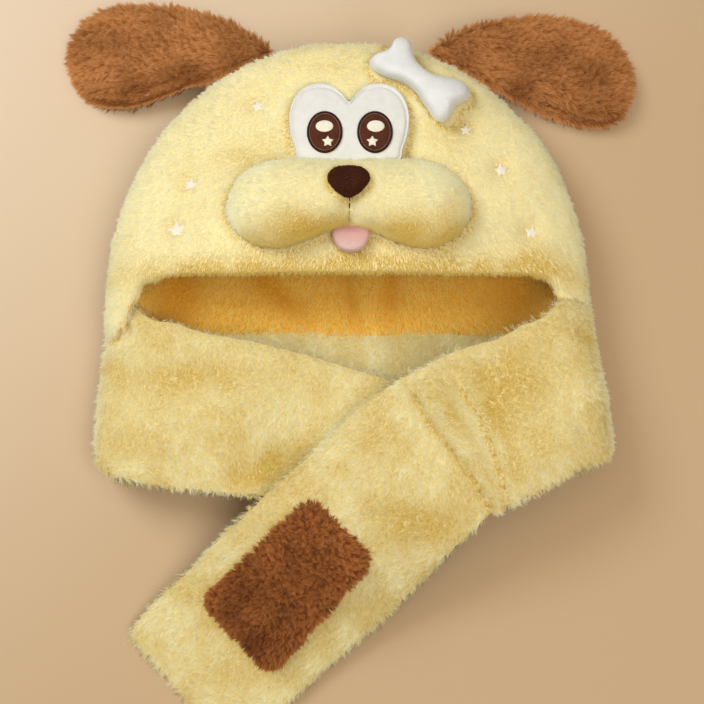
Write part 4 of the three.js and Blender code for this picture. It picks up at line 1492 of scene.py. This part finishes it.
def add_tongue():
    under = fitted_top("hood", (-20, -50), (24, -10), 3)

    def groove(ring, share):
        near = bell(ring[:, 0] - 1.8 * MM, 0.9 * MM) * (share < 0.9)
        ring[:, 2] -= 0.9 * MM * near * smoothstep(-0.037, -0.031, ring[:, 1])
        return ring

    outline = closed_curve(mirrored(TONGUE_HALF, 1.8), 72)
    rows = [(1.0, -4.3), (1.0, 2.0), (0.985, 3.6), (0.94, 4.7), (0.85, 5.6), (0.6, 6.3), (0.25, 6.5)]
    tongue = pad("tongue_cloth", outline, [(1.8, -28), (1.8, -33)], rows, under, paints["tongue"], groove)
    place_pad("tongue")


BONE_OUTLINE = [
    (31.9, 99.2), (36.4, 98.8), (39.3, 95.8), (40.4, 90.8), (42.5, 84.6), (46.5, 79.5), (51.6, 75.4),
    (59.2, 73.6), (67.2, 73.0), (72.4, 70.8), (75.2, 66.9), (75.6, 62.2), (71.6, 57.8), (66.8, 54.6),
    (63.9, 49.8), (61.3, 45.4), (57.1, 43.6), (53, 45.2), (49.6, 50.6), (45.9, 56), (42.9, 61.5),
    (39, 65.9), (34.8, 69), (29.8, 71), (22.8, 73.4), (16.9, 76.7), (13.6, 80.4), (13.7, 84.6),
    (17.2, 87.6), (22.7, 89.6), (26.5, 92.4), (28.3, 96.7),
]
BONE_SPINE = [(27, 84), (61, 60)]


def add_bone():
    outline = closed_curve(BONE_OUTLINE, 128)
    hood_top = fitted_top("hood", (10, 38), (78, 88), 3)

    def under(x, y):
        return hood_top(x, np.minimum(y, 84 * MM))

    def stuffed(ring, share):
        ring[:, 2] += 0.5 * MM * noise(ring, 0.012, 71) * (share < 0.95)
        return ring

    rows = [(0.93, -3.0), (0.97, 0.4), (0.995, 2.6), (1.012, 3.1), (1.012, 3.6), (0.99, 4.0), (0.975, 5.0),
            (0.93, 7.2), (0.84, 9.4), (0.7, 11.0), (0.5, 12.1), (0.2, 12.6)]
    bone = pad("bone_cloth", outline, BONE_SPINE, rows, under, paints["bone"], stuffed)
    place_pad("bone_clip")


def add_stars():
    for name, (radius, turn) in STARS.items():
        centre = middle_of(name) / MM
        under = fitted_top("hood", centre - 12, centre + 12, 2)
        spine = [(centre[0] - 0.1, centre[1]), (centre[0] + 0.1, centre[1])]
        rows = [(1.0, -9.6), (1.0, -5.9), (0.93, -5.3), (0.6, -4.9), (0.15, -4.8)]
        piece = pad(name + "_thread", star(centre, radius, turn, 0.5), spine, rows, under, paints["thread"])
        place_pad(name)


add_camera()
add_lights()
add_floor()
add_plush()
add_eyes()
add_nose()
add_mouth_line("mouth_stitches", [-8.6, -12.4, -16.2], 0.5, "mouth")
add_mouth_line("mouth_fold", [-16.4, -19.6, -22.8, -26.0], 0.4, "crease")
add_tongue()
add_bone()
add_stars()
